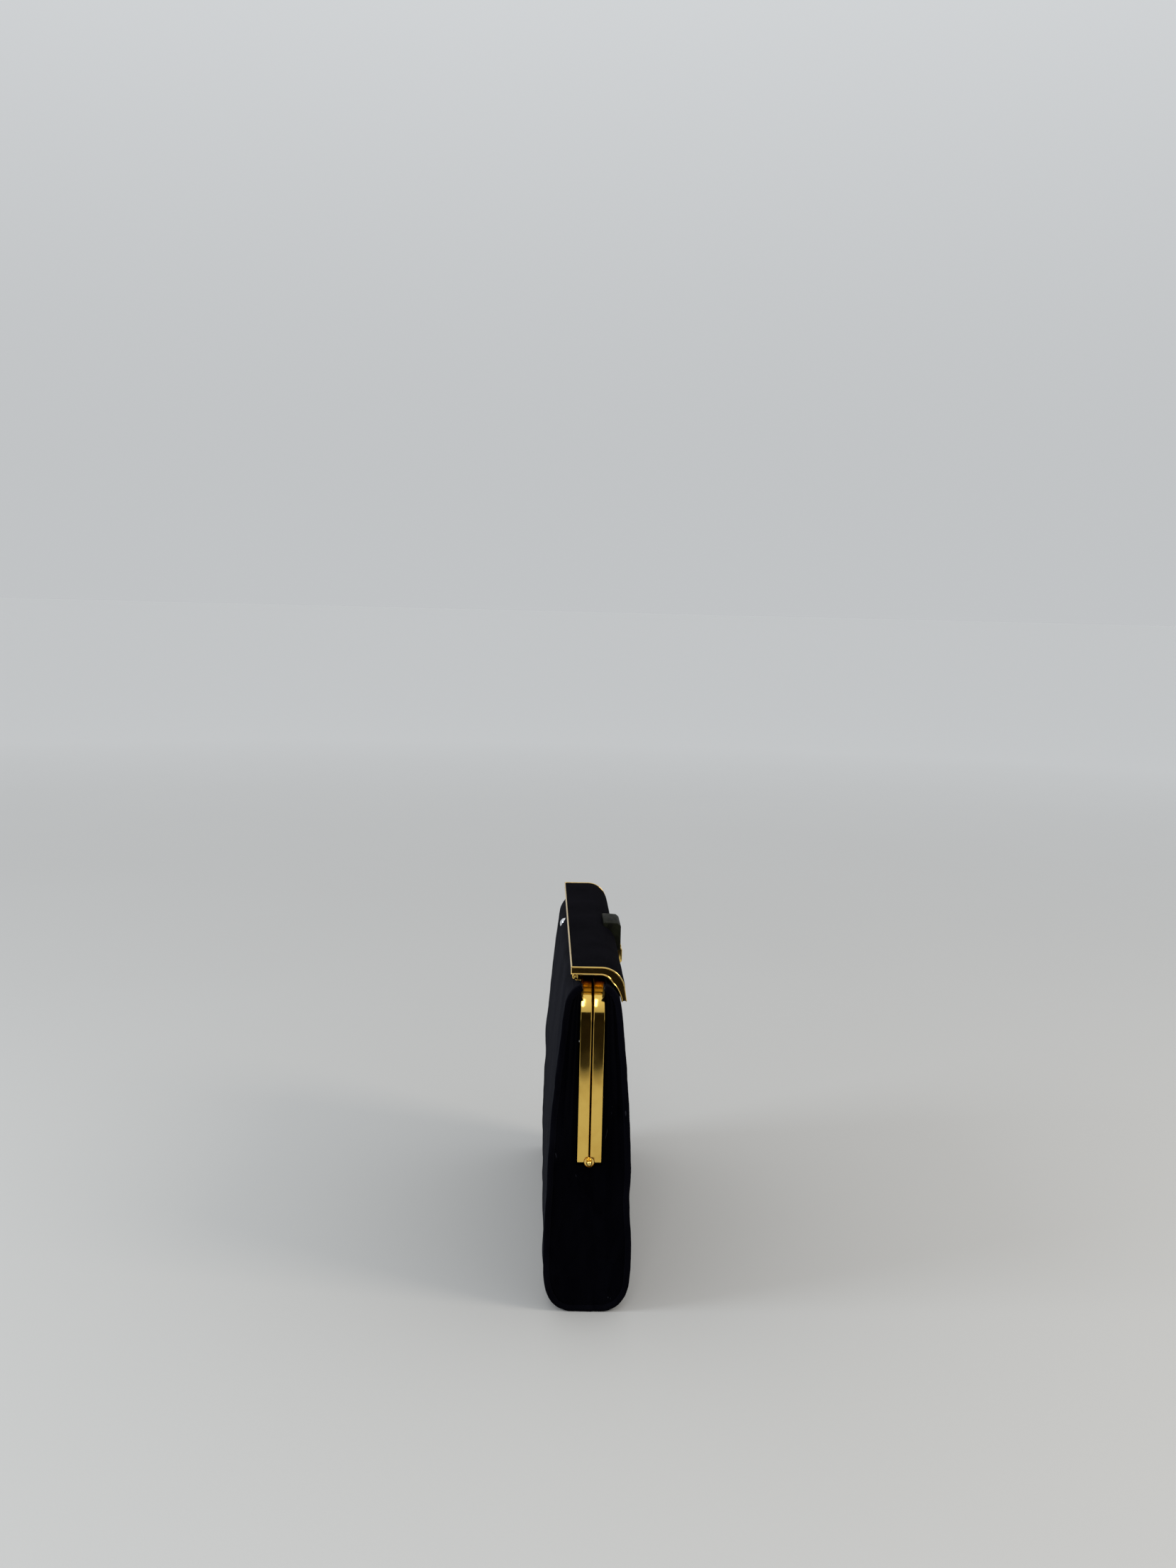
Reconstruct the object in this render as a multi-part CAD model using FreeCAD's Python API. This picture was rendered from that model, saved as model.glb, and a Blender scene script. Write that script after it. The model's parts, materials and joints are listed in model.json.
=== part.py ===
"""Framed clutch purse: soft pouch, two hinged metal frame halves, rigid curved flap with a clasp.

Millimetres. +Z up, X along the purse, the front faces -Y. The origin is on the surface the
purse stands on, under its middle.
"""
import FreeCAD
import Part
import math
import os

V = FreeCAD.Vector

# ---- driving sizes of the pouch ----
frame_length = 218.0      # over the outer faces of the frame's legs
bag_depth = 43.4          # front to back at the belly
belly_height = 26.0       # height of the widest place
bottom_radius = 15.0      # round of the bottom edges
shoulder_depth = 27.2     # front to back where the covers start to turn in
shoulder_drop = 10.7      # from the frame's top down to that place
neck_drop = 0.6           # the covers end this far under the frame's top
cover_thickness = 1.2
board_thickness = 1.0
lining_thickness = 0.5
layer_gap = 0.1           # glue line between two layers
seam_overhang = 2.6       # the covers pass the legs' outer faces by this at each end
piping_width = 2.6
gusset_thickness = 0.8
gusset_standoff = 1.0     # gusset cloth outside the legs' faces
cloth_clearance = 0.3     # between cloth and the frame

# ---- driving sizes of the frame ----
frame_top = 166.6
pivot_height = 75.4
foot_lift = 0.4           # the legs end this far above the pivot
leg_width = 5.8
leg_gap = 0.7             # between the two halves
frame_sheet = 0.8
channel_depth = 4.0
corner_radius = 20.0
edge_round = 0.35
notch_radius = 3.1
lug_radius = 2.6
lug_clearance = 0.1
flange_cut = 6.0          # the flanges stop this far above the pivot
rivet_radius = 1.0
rivet_clearance = 0.05
ball_radius = 1.3
washer_radius = 2.4
washer_thickness = 0.5
tail_thickness = 0.5

# ---- the fold: cloth between the fixed pouch and the moving front ----
fold_low = 65.5
fold_high = 78.5
fold_gap = 0.2

# ---- driving sizes of the flap ----
flap_rise = 8.0           # flap's top above the frame's top
flap_thickness = 2.5
flap_rear = 11.2
flap_bend_radius = 11.8   # outer radius where the flap turns down over the front
flap_bend_y = -3.6
lip_flare = 9.2           # degrees from plumb
lip_length = 16.9         # flap's top down to the lip's edge
flap_overhang = 1.5       # past the legs at each end
rim_sheet = 0.4
rim_lap = 3.0
flap_cover_thickness = 0.6
flap_shell_thickness = 0.8

# ---- flap hinge ----
knuckle_radius = 1.4
hinge_pin_radius = 0.7
hinge_y = 9.0
leaf_thickness = 0.4
leaf_inner_y = 2.0
leaf_setback = 0.6        # the fixed leaf ends this far short of the pin's middle
hinge_clearance = 0.1
hinge_inset = 3.0         # the barrel ends this far inside the legs' faces
knuckle_count = 9
knuckle_gap = 0.3
drop_leaf = 0.6

# ---- clasp ----
block_width = 26.0
block_rise = 1.0          # above the flap's top
block_front = -18.2
block_back = -8.6
block_slope = 3.0         # the top's front edge slopes over this depth
block_slope_drop = 0.6
block_nose_drop = 3.2     # top down to the front face
block_chin = 2.2          # front face ends this far above the lever's pin
block_under = 1.4         # the underside is this far below the lever's pin
block_chin_depth = 1.6
block_under_depth = 4.0
block_round = 1.2
lever_width = 14.0
lever_thickness = 2.3
lever_length = 9.6
lever_pin_radius = 0.6
lever_y = -17.6
lever_drop = 13.4         # flap's top down to the lever's pin
lever_side_gap = 0.3
lever_eye_radius = 1.35
lever_pin_inset = 2.5     # the pin ends this far inside the block's sides
keeper_width = 17.0
keeper_height = 9.0
keeper_thickness = 0.6
keeper_drop = 22.5        # flap's top down to the keeper's middle
keeper_rivet_radius = 0.9
keeper_rivet_inset = 2.6
keeper_round = 1.2

# ---- stud on the back, slip pocket inside ----
stud_x = 57.0
stud_drop = 6.4           # frame's top down to the stud
stud_radius = 3.0
stud_dome = 1.9
stud_shank_radius = 1.2
pocket_width = 110.0
pocket_bottom = 64.0
pocket_top = 131.0
pocket_thickness = 0.7

# ---- sizes worked out from the driving ones ----
half_length = frame_length / 2
half_depth = bag_depth / 2
leg_inner = leg_gap / 2
leg_outer = leg_inner + leg_width
neck_y = leg_outer + cloth_clearance
neck_z = frame_top - neck_drop
shoulder_y = shoulder_depth / 2
shoulder_z = frame_top - shoulder_drop
side_in = half_depth - shoulder_y
side_rise = shoulder_z - belly_height
side_radius = (side_in ** 2 + side_rise ** 2) / (2 * side_in)
side_lean = math.asin(side_rise / side_radius)    # at the shoulder, radians from plumb
neck_chord = math.hypot(shoulder_y - neck_y, neck_z - shoulder_z)
neck_half_turn = math.atan2(shoulder_y - neck_y, neck_z - shoulder_z) - side_lean
neck_radius = neck_chord / 2 / math.sin(neck_half_turn)
neck_centre_y = shoulder_y - neck_radius * math.cos(side_lean)
neck_centre_z = shoulder_z - neck_radius * math.sin(side_lean)
cover_end = half_length + seam_overhang
piping_end = cover_end + piping_width
gusset_in = half_length + gusset_standoff
gusset_out = gusset_in + gusset_thickness
board_in = cover_thickness + layer_gap
board_out = board_in + board_thickness
lining_in = board_out + layer_gap
lining_out = lining_in + lining_thickness
foot_z = pivot_height + foot_lift
flap_top = frame_top + flap_rise
flap_half = half_length + flap_overhang
hinge_z = frame_top + leaf_thickness + hinge_clearance + knuckle_radius
hinge_half = half_length - hinge_inset
lever_z = flap_top - lever_drop
keeper_z = flap_top - keeper_drop
stud_z = frame_top - stud_drop
FAR = 400.0               # longer than anything here, for cutting


def box(low, high):
    size = [b - a for a, b in zip(low, high)]
    return Part.makeBox(size[0], size[1], size[2], V(*low))


def rod(radius, x0, x1, y, z):
    return Part.makeCylinder(radius, x1 - x0, V(x0, y, z), V(1, 0, 0))


def mirror_x(shape):
    return shape.mirror(V(0, 0, 0), V(1, 0, 0))


def both_ends(shape):
    return Part.Compound([shape, mirror_x(shape)])


def yz(point):
    return V(0, point[0], point[1])


def extrude_x(face, x0, x1):
    solid = face.extrude(V(x1 - x0, 0, 0))
    solid.translate(V(x0, 0, 0))
    return solid


def export(shape, name):
    solids = shape.Solids
    kept = solids[0] if len(solids) == 1 else Part.Compound(solids)
    kept.exportStep("parts/" + name + ".step")


# ---- the pouch's section ----

def wall_at(lean):
    """Outer half depth and height of the pouch's wall where it leans this far (radians) inwards."""
    if lean <= side_lean:
        return (half_depth - side_radius * (1 - math.cos(lean)),
                belly_height + side_radius * math.sin(lean))
    return neck_centre_y + neck_radius * math.cos(lean), neck_centre_z + neck_radius * math.sin(lean)


def lean_at(height):
    """Lean of the pouch's wall at a height above the belly."""
    if height <= shoulder_z:
        return math.asin((height - belly_height) / side_radius)
    return math.asin((height - neck_centre_z) / neck_radius)


def half_outline(side):
    """Edges of one side of the section, from the bottom's middle up to the neck."""
    r = bottom_radius
    k = math.sqrt(0.5)
    flat = half_depth - r
    points = {
        "middle": (0, 0),
        "flat": (flat, 0),
        "corner": (flat + r * k, r - r * k),
        "wall": (half_depth, r),
        "belly": (half_depth, belly_height),
        "belly_mid": wall_at(side_lean / 2),
        "shoulder": (shoulder_y, shoulder_z),
        "neck_mid": wall_at(side_lean + neck_half_turn),
        "neck": (neck_y, neck_z),
    }
    p = {name: yz((side * y, z)) for name, (y, z) in points.items()}
    return [
        Part.makeLine(p["middle"], p["flat"]),
        Part.Arc(p["flat"], p["corner"], p["wall"]).toShape(),
        Part.makeLine(p["wall"], p["belly"]),
        Part.Arc(p["belly"], p["belly_mid"], p["shoulder"]).toShape(),
        Part.Arc(p["shoulder"], p["neck_mid"], p["neck"]).toShape(),
    ]


def section(inset):
    """The pouch's closed section, moved inwards by inset."""
    lid = Part.makeLine(yz((neck_y, neck_z)), yz((-neck_y, neck_z)))
    edges = half_outline(1) + half_outline(-1) + [lid]
    face = Part.Face(Part.Wire(Part.__sortEdges__(edges)))
    if inset > 0:
        face = face.makeOffset2D(-inset)
    return face


def layer(inner_from, inner_to, x0, x1):
    """One open-topped layer of the pouch's wall between two insets."""
    outer = extrude_x(section(inner_from), x0, x1)
    inner = extrude_x(section(inner_to), x0 - 1, x1 + 1)
    mouth = box((x0 - 1, -neck_y, shoulder_z), (x1 + 1, neck_y, FAR))
    return outer.cut(inner).cut(mouth)


def fixed_part(shape, gap=0.0):
    """What stays with the rear half: all but the front above the fold."""
    return shape.cut(box((-FAR, -FAR, fold_low - gap), (FAR, 0, FAR)))


def fold_part(shape):
    return shape.common(box((-FAR, -FAR, fold_low + fold_gap), (FAR, -leg_inner, fold_high - fold_gap)))


def front_part(shape, gap=0.0):
    return shape.common(box((-FAR, -FAR, fold_high + gap), (FAR, -leg_inner, FAR)))


def gusset_sheet(inset):
    """End cloth of one end, open beside the frame's legs."""
    sheet = extrude_x(section(inset), gusset_in, gusset_out)
    slot = box((0, -neck_y, pivot_height - 2 * washer_radius), (FAR, neck_y, FAR))
    return sheet.cut(slot)


def build_pouch():
    cover = layer(0, cover_thickness, -cover_end, cover_end)
    piping = layer(0, piping_width, cover_end, piping_end)
    gusset = gusset_sheet(cover_thickness + layer_gap / 2)
    ends = fold_part(piping.fuse(gusset_sheet(cover_thickness - layer_gap)))
    fold = fold_part(cover).fuse([ends, mirror_x(ends)]).removeSplitter()
    board = layer(board_in, board_out, -gusset_in + layer_gap, gusset_in - layer_gap)
    lining = layer(lining_in, lining_out, -half_length, half_length)
    flat = half_depth - bottom_radius
    rear_zone = box((-FAR, 0, bottom_radius + lining_out), (FAR, FAR, shoulder_z))
    bottom_zone = box((-FAR, -flat, 0), (FAR, flat, bottom_radius))
    front_zone = box((-FAR, -FAR, fold_high + layer_gap), (FAR, 0, shoulder_z))
    low_zone = box((-FAR, -FAR, bottom_radius + lining_out), (FAR, 0, fold_low))
    hole = stud_hole()
    export(fixed_part(cover).cut(hole), "body_cover")
    export(front_part(cover), "front_cover")
    export(fold, "front_fold")
    export(fixed_part(piping), "right_piping")
    export(mirror_x(fixed_part(piping)), "left_piping")
    export(front_part(piping), "front_right_piping")
    export(mirror_x(front_part(piping)), "front_left_piping")
    export(fixed_part(gusset), "right_gusset")
    export(mirror_x(fixed_part(gusset)), "left_gusset")
    export(front_part(gusset), "front_right_gusset")
    export(mirror_x(front_part(gusset)), "front_left_gusset")
    export(board.common(rear_zone).cut(hole), "rear_board")
    export(board.common(bottom_zone), "bottom_board")
    export(board.common(low_zone), "front_lower_board")
    export(board.common(front_zone), "front_board")
    export(fixed_part(lining), "body_lining")
    export(front_part(lining), "front_lining")


def build_pocket():
    pocket = layer(lining_out + layer_gap, lining_out + layer_gap + pocket_thickness,
                   -pocket_width / 2, pocket_width / 2)
    export(pocket.common(box((-FAR, 0, pocket_bottom), (FAR, FAR, pocket_top))), "slip_pocket")


# ---- the frame ----

def arch(inset, bottom):
    """Closed outline of the frame in XZ, moved inwards by inset, with round top corners."""
    w = half_length - inset
    top = frame_top - inset
    r = corner_radius - inset
    k = r * (1 - math.sqrt(0.5))
    left = [V(-w, 0, bottom), V(-w, 0, top - r), V(-w + k, 0, top - k), V(-w + r, 0, top)]
    right = [V(-p.x, 0, p.z) for p in left]
    edges = [
        Part.makeLine(left[0], left[1]),
        Part.Arc(left[1], left[2], left[3]).toShape(),
        Part.makeLine(left[3], right[3]),
        Part.Arc(right[3], right[2], right[1]).toShape(),
        Part.makeLine(right[1], right[0]),
        Part.makeLine(right[0], left[0]),
    ]
    return Part.Face(Part.Wire(edges))


def arch_slab(inset, bottom, y0, y1):
    slab = arch(inset, bottom).extrude(V(0, y1 - y0, 0))
    slab.translate(V(0, y0, 0))
    return slab


def channel():
    """One frame half on the +Y side, its channel open towards the purse's inside."""
    y0 = leg_inner
    y1 = leg_outer
    outer = arch_slab(0, foot_z, y0, y1)
    round_edges = [e for e in outer.Edges
                   if abs(abs(e.BoundBox.YMax) - abs(e.BoundBox.YMin)) < 1e-6
                   and e.BoundBox.ZMax > foot_z + 1]
    outer = outer.makeFillet(edge_round, round_edges)
    band = outer.cut(arch_slab(channel_depth, foot_z - 1, y0 - 1, y1 + 1))
    hollow = arch_slab(frame_sheet, foot_z - 1, y0 + frame_sheet, y1 - frame_sheet)
    trim_x = half_length - frame_sheet
    trim = box((-trim_x, y0 - 1, foot_z - 1), (trim_x, y1 + 1, pivot_height + flange_cut))
    notch = rod(notch_radius, -FAR, FAR, 0, pivot_height)
    return band.cut(hollow).cut(trim).cut(notch)


def lug(x_out, thickness, side):
    """Pivot plate of one leg at the +X end, from x_out inwards."""
    x_in = x_out - thickness
    plate = rod(lug_radius, x_in, x_out, 0, pivot_height)
    y_near = side * leg_inner
    y_far = side * leg_outer
    strip = box((x_in, min(y_near, y_far), foot_z),
                (x_out, max(y_near, y_far), pivot_height + flange_cut - foot_lift))
    hole = rod(rivet_radius + rivet_clearance, x_in - 1, x_out + 1, 0, pivot_height)
    return plate.fuse(strip).cut(hole)


def build_frame():
    web_in = half_length - frame_sheet
    rear_lug = lug(web_in, frame_sheet, 1)
    front_x = web_in - frame_sheet - lug_clearance
    front_lug = lug(front_x, frame_sheet, -1)
    spacer = box((front_x, -leg_outer, foot_z), (web_in, -leg_inner, pivot_height + flange_cut - foot_lift))
    spacer = spacer.cut(rod(notch_radius, 0, FAR, 0, pivot_height))
    rear = channel()
    front = rear.mirror(V(0, 0, 0), V(0, 1, 0))
    front_lug = front_lug.fuse(spacer)
    export(rear.fuse([rear_lug, mirror_x(rear_lug)]).removeSplitter(), "rear_frame")
    export(front.fuse([front_lug, mirror_x(front_lug)]).removeSplitter(), "front_frame")

    tail_x = front_x - frame_sheet - lug_clearance
    head_x = web_in + washer_thickness
    shank = rod(rivet_radius, tail_x, head_x + ball_radius, 0, pivot_height)
    tail = rod(lug_radius - frame_sheet, tail_x - tail_thickness, tail_x, 0, pivot_height)
    ball = Part.makeSphere(ball_radius, V(head_x + ball_radius, 0, pivot_height))
    ball = ball.common(box((head_x, -FAR, 0), (FAR, FAR, FAR)))
    export(both_ends(shank.fuse([tail, ball])), "hinge_rivets")
    washer = rod(washer_radius, web_in, head_x, 0, pivot_height)
    washer = washer.cut(rod(rivet_radius + rivet_clearance, web_in - 1, head_x + 1, 0, pivot_height))
    export(both_ends(washer), "rivet_washers")


# ---- the flap ----

def flap_path(depth):
    """Points of the flap's bent line at a depth under its outer face, back edge to lip."""
    r = flap_bend_radius - depth
    top = flap_top - depth
    centre = (flap_bend_y, flap_top - flap_bend_radius)
    flare = math.radians(lip_flare)
    turn = math.pi - flare
    half = (math.pi / 2 + turn) / 2
    at = [(centre[0] + r * math.cos(a), centre[1] + r * math.sin(a)) for a in (half, turn)]
    lip_drop = centre[1] + r * math.sin(turn) - (flap_top - lip_length) + depth * math.sin(flare)
    tip = (at[1][0] - lip_drop * math.tan(flare), at[1][1] - lip_drop)
    return [(flap_rear, top), (flap_bend_y, top), at[0], at[1], tip]


def flap_slab(depth0, depth1, inset, half):
    """A curved plate between two depths, its four edges moved in by inset."""
    outer = flap_path(depth0)
    inner = flap_path(depth1)
    flare = math.radians(lip_flare)
    for path in (outer, inner):
        path[0] = (flap_rear - inset, path[0][1])
        path[4] = (path[4][0] + inset * math.sin(flare), path[4][1] + inset * math.cos(flare))
    edges = []
    for path in (outer, inner):
        p = [yz(q) for q in path]
        edges += [Part.makeLine(p[0], p[1]), Part.Arc(p[1], p[2], p[3]).toShape(), Part.makeLine(p[3], p[4])]
    edges.append(Part.makeLine(yz(outer[0]), yz(inner[0])))
    edges.append(Part.makeLine(yz(outer[4]), yz(inner[4])))
    face = Part.Face(Part.Wire(Part.__sortEdges__(edges)))
    return extrude_x(face, inset - half, half - inset)


def build_flap():
    inner = flap_thickness - rim_sheet
    body = flap_slab(0, flap_thickness, 0, flap_half)
    groove = flap_slab(rim_sheet, inner, rim_sheet, flap_half)
    window = flap_slab(-1, flap_thickness + 1, rim_lap, flap_half)
    export(body.cut(groove).cut(window), "flap_rim")
    cover_depth = rim_sheet + flap_cover_thickness
    shell_depth = cover_depth + flap_shell_thickness
    edge = rim_sheet + layer_gap
    export(flap_slab(rim_sheet, cover_depth, edge, flap_half), "flap_cover")
    export(flap_slab(cover_depth, shell_depth, edge, flap_half), "flap_shell")
    export(flap_slab(shell_depth, inner, edge, flap_half), "flap_lining")


def knuckle(index):
    """One barrel of the flap's hinge, with its two ends."""
    pitch = 2 * hinge_half / knuckle_count
    x0 = -hinge_half + index * pitch + knuckle_gap / 2
    x1 = x0 + pitch - knuckle_gap
    return rod(knuckle_radius, x0, x1, hinge_y, hinge_z), x0, x1


def build_hinge():
    bore = rod(hinge_pin_radius + rivet_clearance, -FAR, FAR, hinge_y, hinge_z)
    straight = half_length - corner_radius
    leaf_top = frame_top + leaf_thickness
    rear = [box((-hinge_half, leg_outer, frame_top), (hinge_half, hinge_y - leaf_setback, leaf_top)),
            box((-straight, leaf_inner_y, frame_top), (straight, leg_outer, leaf_top))]
    drop_y = hinge_y + knuckle_radius - drop_leaf
    under = flap_top - flap_thickness
    drop = [box((-hinge_half, drop_y, hinge_z + knuckle_radius + hinge_clearance),
                (hinge_half, drop_y + drop_leaf, under))]
    for index in range(knuckle_count):
        barrel, x0, x1 = knuckle(index)
        if index % 2 == 0:
            web = box((x0, hinge_y - knuckle_radius + hinge_clearance, frame_top), (x1, hinge_y, hinge_z))
            rear += [barrel, web]
        else:
            drop += [barrel, box((x0, drop_y, hinge_z), (x1, drop_y + drop_leaf, under))]
    export(rear[0].fuse(rear[1:]).cut(bore).removeSplitter(), "rear_hinge_leaf")
    export(drop[0].fuse(drop[1:]).cut(bore).removeSplitter(), "flap_hinge_leaf")
    export(rod(hinge_pin_radius, -hinge_half, hinge_half, hinge_y, hinge_z), "flap_hinge_pin")


# ---- the clasp ----

def build_clasp():
    top = flap_top + block_rise
    half = block_width / 2
    under = lever_z - block_under
    points = [(block_back, top), (block_front + block_slope, top - block_slope_drop),
              (block_front, top - block_nose_drop), (block_front, lever_z + block_chin),
              (block_front + block_chin_depth, under), (block_front + block_under_depth, under),
              (block_back, flap_top - flap_thickness)]
    wire = Part.makePolygon([yz(p) for p in points + points[:1]])
    block = extrude_x(Part.Face(wire), -half, half)
    side_edges = [e for e in block.Edges
                  if e.BoundBox.YLength < 1e-6 and e.BoundBox.XLength > half
                  and e.BoundBox.YMin < block_front + block_slope + 0.1 and e.BoundBox.ZMin > lever_z]
    block = block.makeFillet(block_round, side_edges)
    block = block.cut(flap_slab(0, 3 * flap_thickness, -1, block_width))
    slot_half = lever_width / 2 + lever_side_gap
    slot_reach = lever_eye_radius + lever_side_gap
    slot = box((-slot_half, block_front - 1, 0), (slot_half, lever_y + slot_reach, lever_z + slot_reach))
    pin_half = half - lever_pin_inset
    pin = rod(lever_pin_radius, -pin_half, pin_half, lever_y, lever_z)
    pin_hole = rod(lever_pin_radius + rivet_clearance, -pin_half, pin_half, lever_y, lever_z)
    export(block.cut(slot).cut(pin_hole), "clasp_block")
    export(pin, "lever_pin")

    w = lever_width / 2
    tip = lever_z - lever_length
    plate = box((-w, lever_y - lever_thickness / 2, tip), (w, lever_y + lever_thickness / 2, lever_z))
    tip_edges = [e for e in plate.Edges if e.BoundBox.ZMax < tip + 1e-6 and e.BoundBox.XLength > 1]
    plate = plate.makeFillet(lever_thickness * 0.45, tip_edges)
    lever = plate.fuse(rod(lever_eye_radius, -w, w, lever_y, lever_z)).removeSplitter()
    export(lever.cut(rod(lever_pin_radius + rivet_clearance, -w - 1, w + 1, lever_y, lever_z)), "clasp_lever")


def on_wall(shape, height, side):
    """Move a piece drawn at the origin, its back to +Y, onto the pouch's front (-1) or back (1)."""
    lean = lean_at(height)
    y, z = wall_at(lean)
    shape = shape.copy()
    shape.rotate(V(0, 0, 0), V(1, 0, 0), -math.degrees(lean))
    shape.translate(V(0, -y, z))
    return shape if side < 0 else shape.mirror(V(0, 0, 0), V(0, 1, 0))


def build_keeper():
    w = keeper_width / 2
    h = keeper_height / 2
    t = keeper_thickness
    plate = box((-w, -t - layer_gap, -h), (w, -layer_gap, h))
    plate_edges = [e for e in plate.Edges if e.BoundBox.YLength > t / 2]
    plate = plate.makeFillet(keeper_round, plate_edges)
    rivets = []
    holes = []
    for x in (keeper_rivet_inset - w, w - keeper_rivet_inset):
        shank = Part.makeCylinder(keeper_rivet_radius, t + layer_gap, V(x, -t - layer_gap, 0), V(0, 1, 0))
        rivets.append(on_wall(shank, keeper_z, -1))
        holes.append(shank)
    export(on_wall(plate.cut(holes), keeper_z, -1), "keeper_plate")
    export(Part.Compound(rivets), "keeper_rivets")


def stud_shank(radius):
    """Shank of the stud, through the back cover and its board, drawn at the origin."""
    return Part.makeCylinder(radius, board_out, V(stud_x, 0, 0), V(0, 1, 0))


def stud_hole():
    reach = stud_shank(stud_shank_radius + rivet_clearance)
    mouth = Part.makeCylinder(stud_shank_radius + rivet_clearance, 1, V(stud_x, -1, 0), V(0, 1, 0))
    return on_wall(reach.fuse(mouth), stud_z, 1)


def build_stud():
    radius = (stud_radius ** 2 + stud_dome ** 2) / (2 * stud_dome)
    ball = Part.makeSphere(radius, V(stud_x, radius - stud_dome, 0))
    dome = ball.common(box((-FAR, -FAR, -FAR), (FAR, 0, FAR)))
    export(on_wall(dome.fuse(stud_shank(stud_shank_radius)), stud_z, 1), "rear_stud")


os.makedirs("parts", exist_ok=True)
build_pouch()
build_pocket()
build_frame()
build_flap()
build_hinge()
build_clasp()
build_keeper()
build_stud()
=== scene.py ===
"""Looks of the framed clutch purse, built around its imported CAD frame.

Sizes below are in millimetres; make_mesh turns them into metres.
+Z is up, X runs along the purse and the front, with the clasp, faces -Y.
"""
import json
import math
import bpy
import bmesh
import numpy as np
from mathutils import Matrix, Vector, noise


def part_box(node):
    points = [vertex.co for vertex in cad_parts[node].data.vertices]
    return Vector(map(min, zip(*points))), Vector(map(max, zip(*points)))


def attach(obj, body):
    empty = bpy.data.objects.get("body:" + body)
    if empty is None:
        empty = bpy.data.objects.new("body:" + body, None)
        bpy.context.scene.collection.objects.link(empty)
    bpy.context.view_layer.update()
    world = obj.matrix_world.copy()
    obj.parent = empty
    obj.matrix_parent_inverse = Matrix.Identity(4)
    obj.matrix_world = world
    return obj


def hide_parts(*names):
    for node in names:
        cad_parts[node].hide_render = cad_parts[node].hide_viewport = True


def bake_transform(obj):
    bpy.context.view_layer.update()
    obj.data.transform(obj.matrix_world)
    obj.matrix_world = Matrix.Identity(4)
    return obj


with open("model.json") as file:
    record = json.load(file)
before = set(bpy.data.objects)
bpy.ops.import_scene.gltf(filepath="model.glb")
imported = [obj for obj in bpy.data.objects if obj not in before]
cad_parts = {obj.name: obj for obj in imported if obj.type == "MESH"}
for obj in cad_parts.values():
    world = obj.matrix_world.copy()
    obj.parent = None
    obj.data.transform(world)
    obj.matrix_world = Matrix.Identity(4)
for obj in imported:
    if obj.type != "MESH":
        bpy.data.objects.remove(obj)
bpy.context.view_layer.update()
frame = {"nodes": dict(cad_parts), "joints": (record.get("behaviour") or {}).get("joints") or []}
MM = 0.001


def corners(node):
    """Lowest and highest corner of a CAD node, in millimetres."""
    low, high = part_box(node)
    return Vector(low) / MM, Vector(high) / MM


JOINT = {joint["name"]: joint for joint in frame["joints"]}
_, PIVOT_Y, PIVOT_Z = [v / MM for v in JOINT["frame_open"]["pos_m"]]
_, HINGE_Y, HINGE_Z = [v / MM for v in JOINT["flap_open"]["pos_m"]]
_, LEVER_Y, LEVER_Z = [v / MM for v in JOINT["clasp_lift"]["pos_m"]]

# ---- sizes read from the frame ----
FRAME_HIGH = corners("rear_frame")[1]
COVER_HIGH = corners("body_cover")[1]
RIM_LOW, RIM_HIGH = corners("flap_rim")
LEG_X = FRAME_HIGH.x                      # outer face of a leg
LEG_OUTER = FRAME_HIGH.y
LEG_INNER = -corners("front_fold")[1].y
FRAME_TOP = FRAME_HIGH.z
HALF_DEPTH = COVER_HIGH.y
COVER_END = COVER_HIGH.x
NECK_Y = -corners("front_cover")[1].y
NECK_Z = COVER_HIGH.z
SHOULDER_Z = corners("front_board")[1].z
PIPING_END = corners("right_piping")[1].x
FLAP_TOP = RIM_HIGH.z
FLAP_REAR = RIM_HIGH.y
FLAP_END = RIM_HIGH.x
LIP_BOTTOM = RIM_LOW.z
BOARD_LOW = corners("front_lower_board")[0].z

# ---- sizes of shapes the boxes don't give ----
SHOULDER_Y = 13.6
BELLY_Z = 26.0
BOTTOM_RADIUS = 15.0
COVER_THICKNESS = 1.2
CARD_GAP = 0.15                           # between the cover and the card behind it
CARD_THICKNESS = 0.6
LINING_INSET = 2.45
LINING_THICKNESS = 0.4
END_THICKNESS = 0.8                       # the end cloth and its backing
ROLL_RADIUS = 1.55
CORNER_RADIUS = 20.0
CHANNEL_DEPTH = 4.0
FRAME_SHEET = 0.8
FOOT_LIFT = 0.05
NOTCH_HALF = 2.75
NOTCH_RISE = 2.8
FLANGE_RISE = 6.0                         # the channel's flanges start this far above the pivot
LUG_RADIUS = 2.6
BALL_RADIUS = 1.5
SHANK_RADIUS = 1.0
WASHER_RADIUS = 2.66
FLAP_BEND_RADIUS = 11.8
FLAP_BEND_Y = -3.6
LIP_FLARE = math.radians(9.2)
RIM_THICKNESS = 2.5
RIM_EXTRA = 1.5                           # the rim's ends reach this much deeper than the flap is thick
BARRELS = 9
BARREL_RADIUS = 1.4
LEVER_HALF = 7.0
SLOT_HALF = 7.3
STITCH_LENGTH = 2.0
STITCH_PITCH = 3.0
STITCH_RADIUS = 0.17

# ---- steps of the soft pieces' meshes ----
WRAP_STEP = 2.2
LINING_STEP = 3.2
END_STEP = 1.4
SIM_STEP = 4.0
SIM_FRAMES = 24
SIM_CAP = 1.6


# ---- meshes ----

def link(obj):
    bpy.context.scene.collection.objects.link(obj)
    return obj


def make_mesh(name, verts, faces, smooth=True):
    """New object from vertices in millimetres."""
    mesh = bpy.data.meshes.new(name)
    mesh.from_pydata([tuple(c * MM for c in v) for v in verts], [], [tuple(f) for f in faces])
    mesh.update()
    obj = link(bpy.data.objects.new(name, mesh))
    if smooth:
        mesh.shade_smooth()
    return obj


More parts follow.
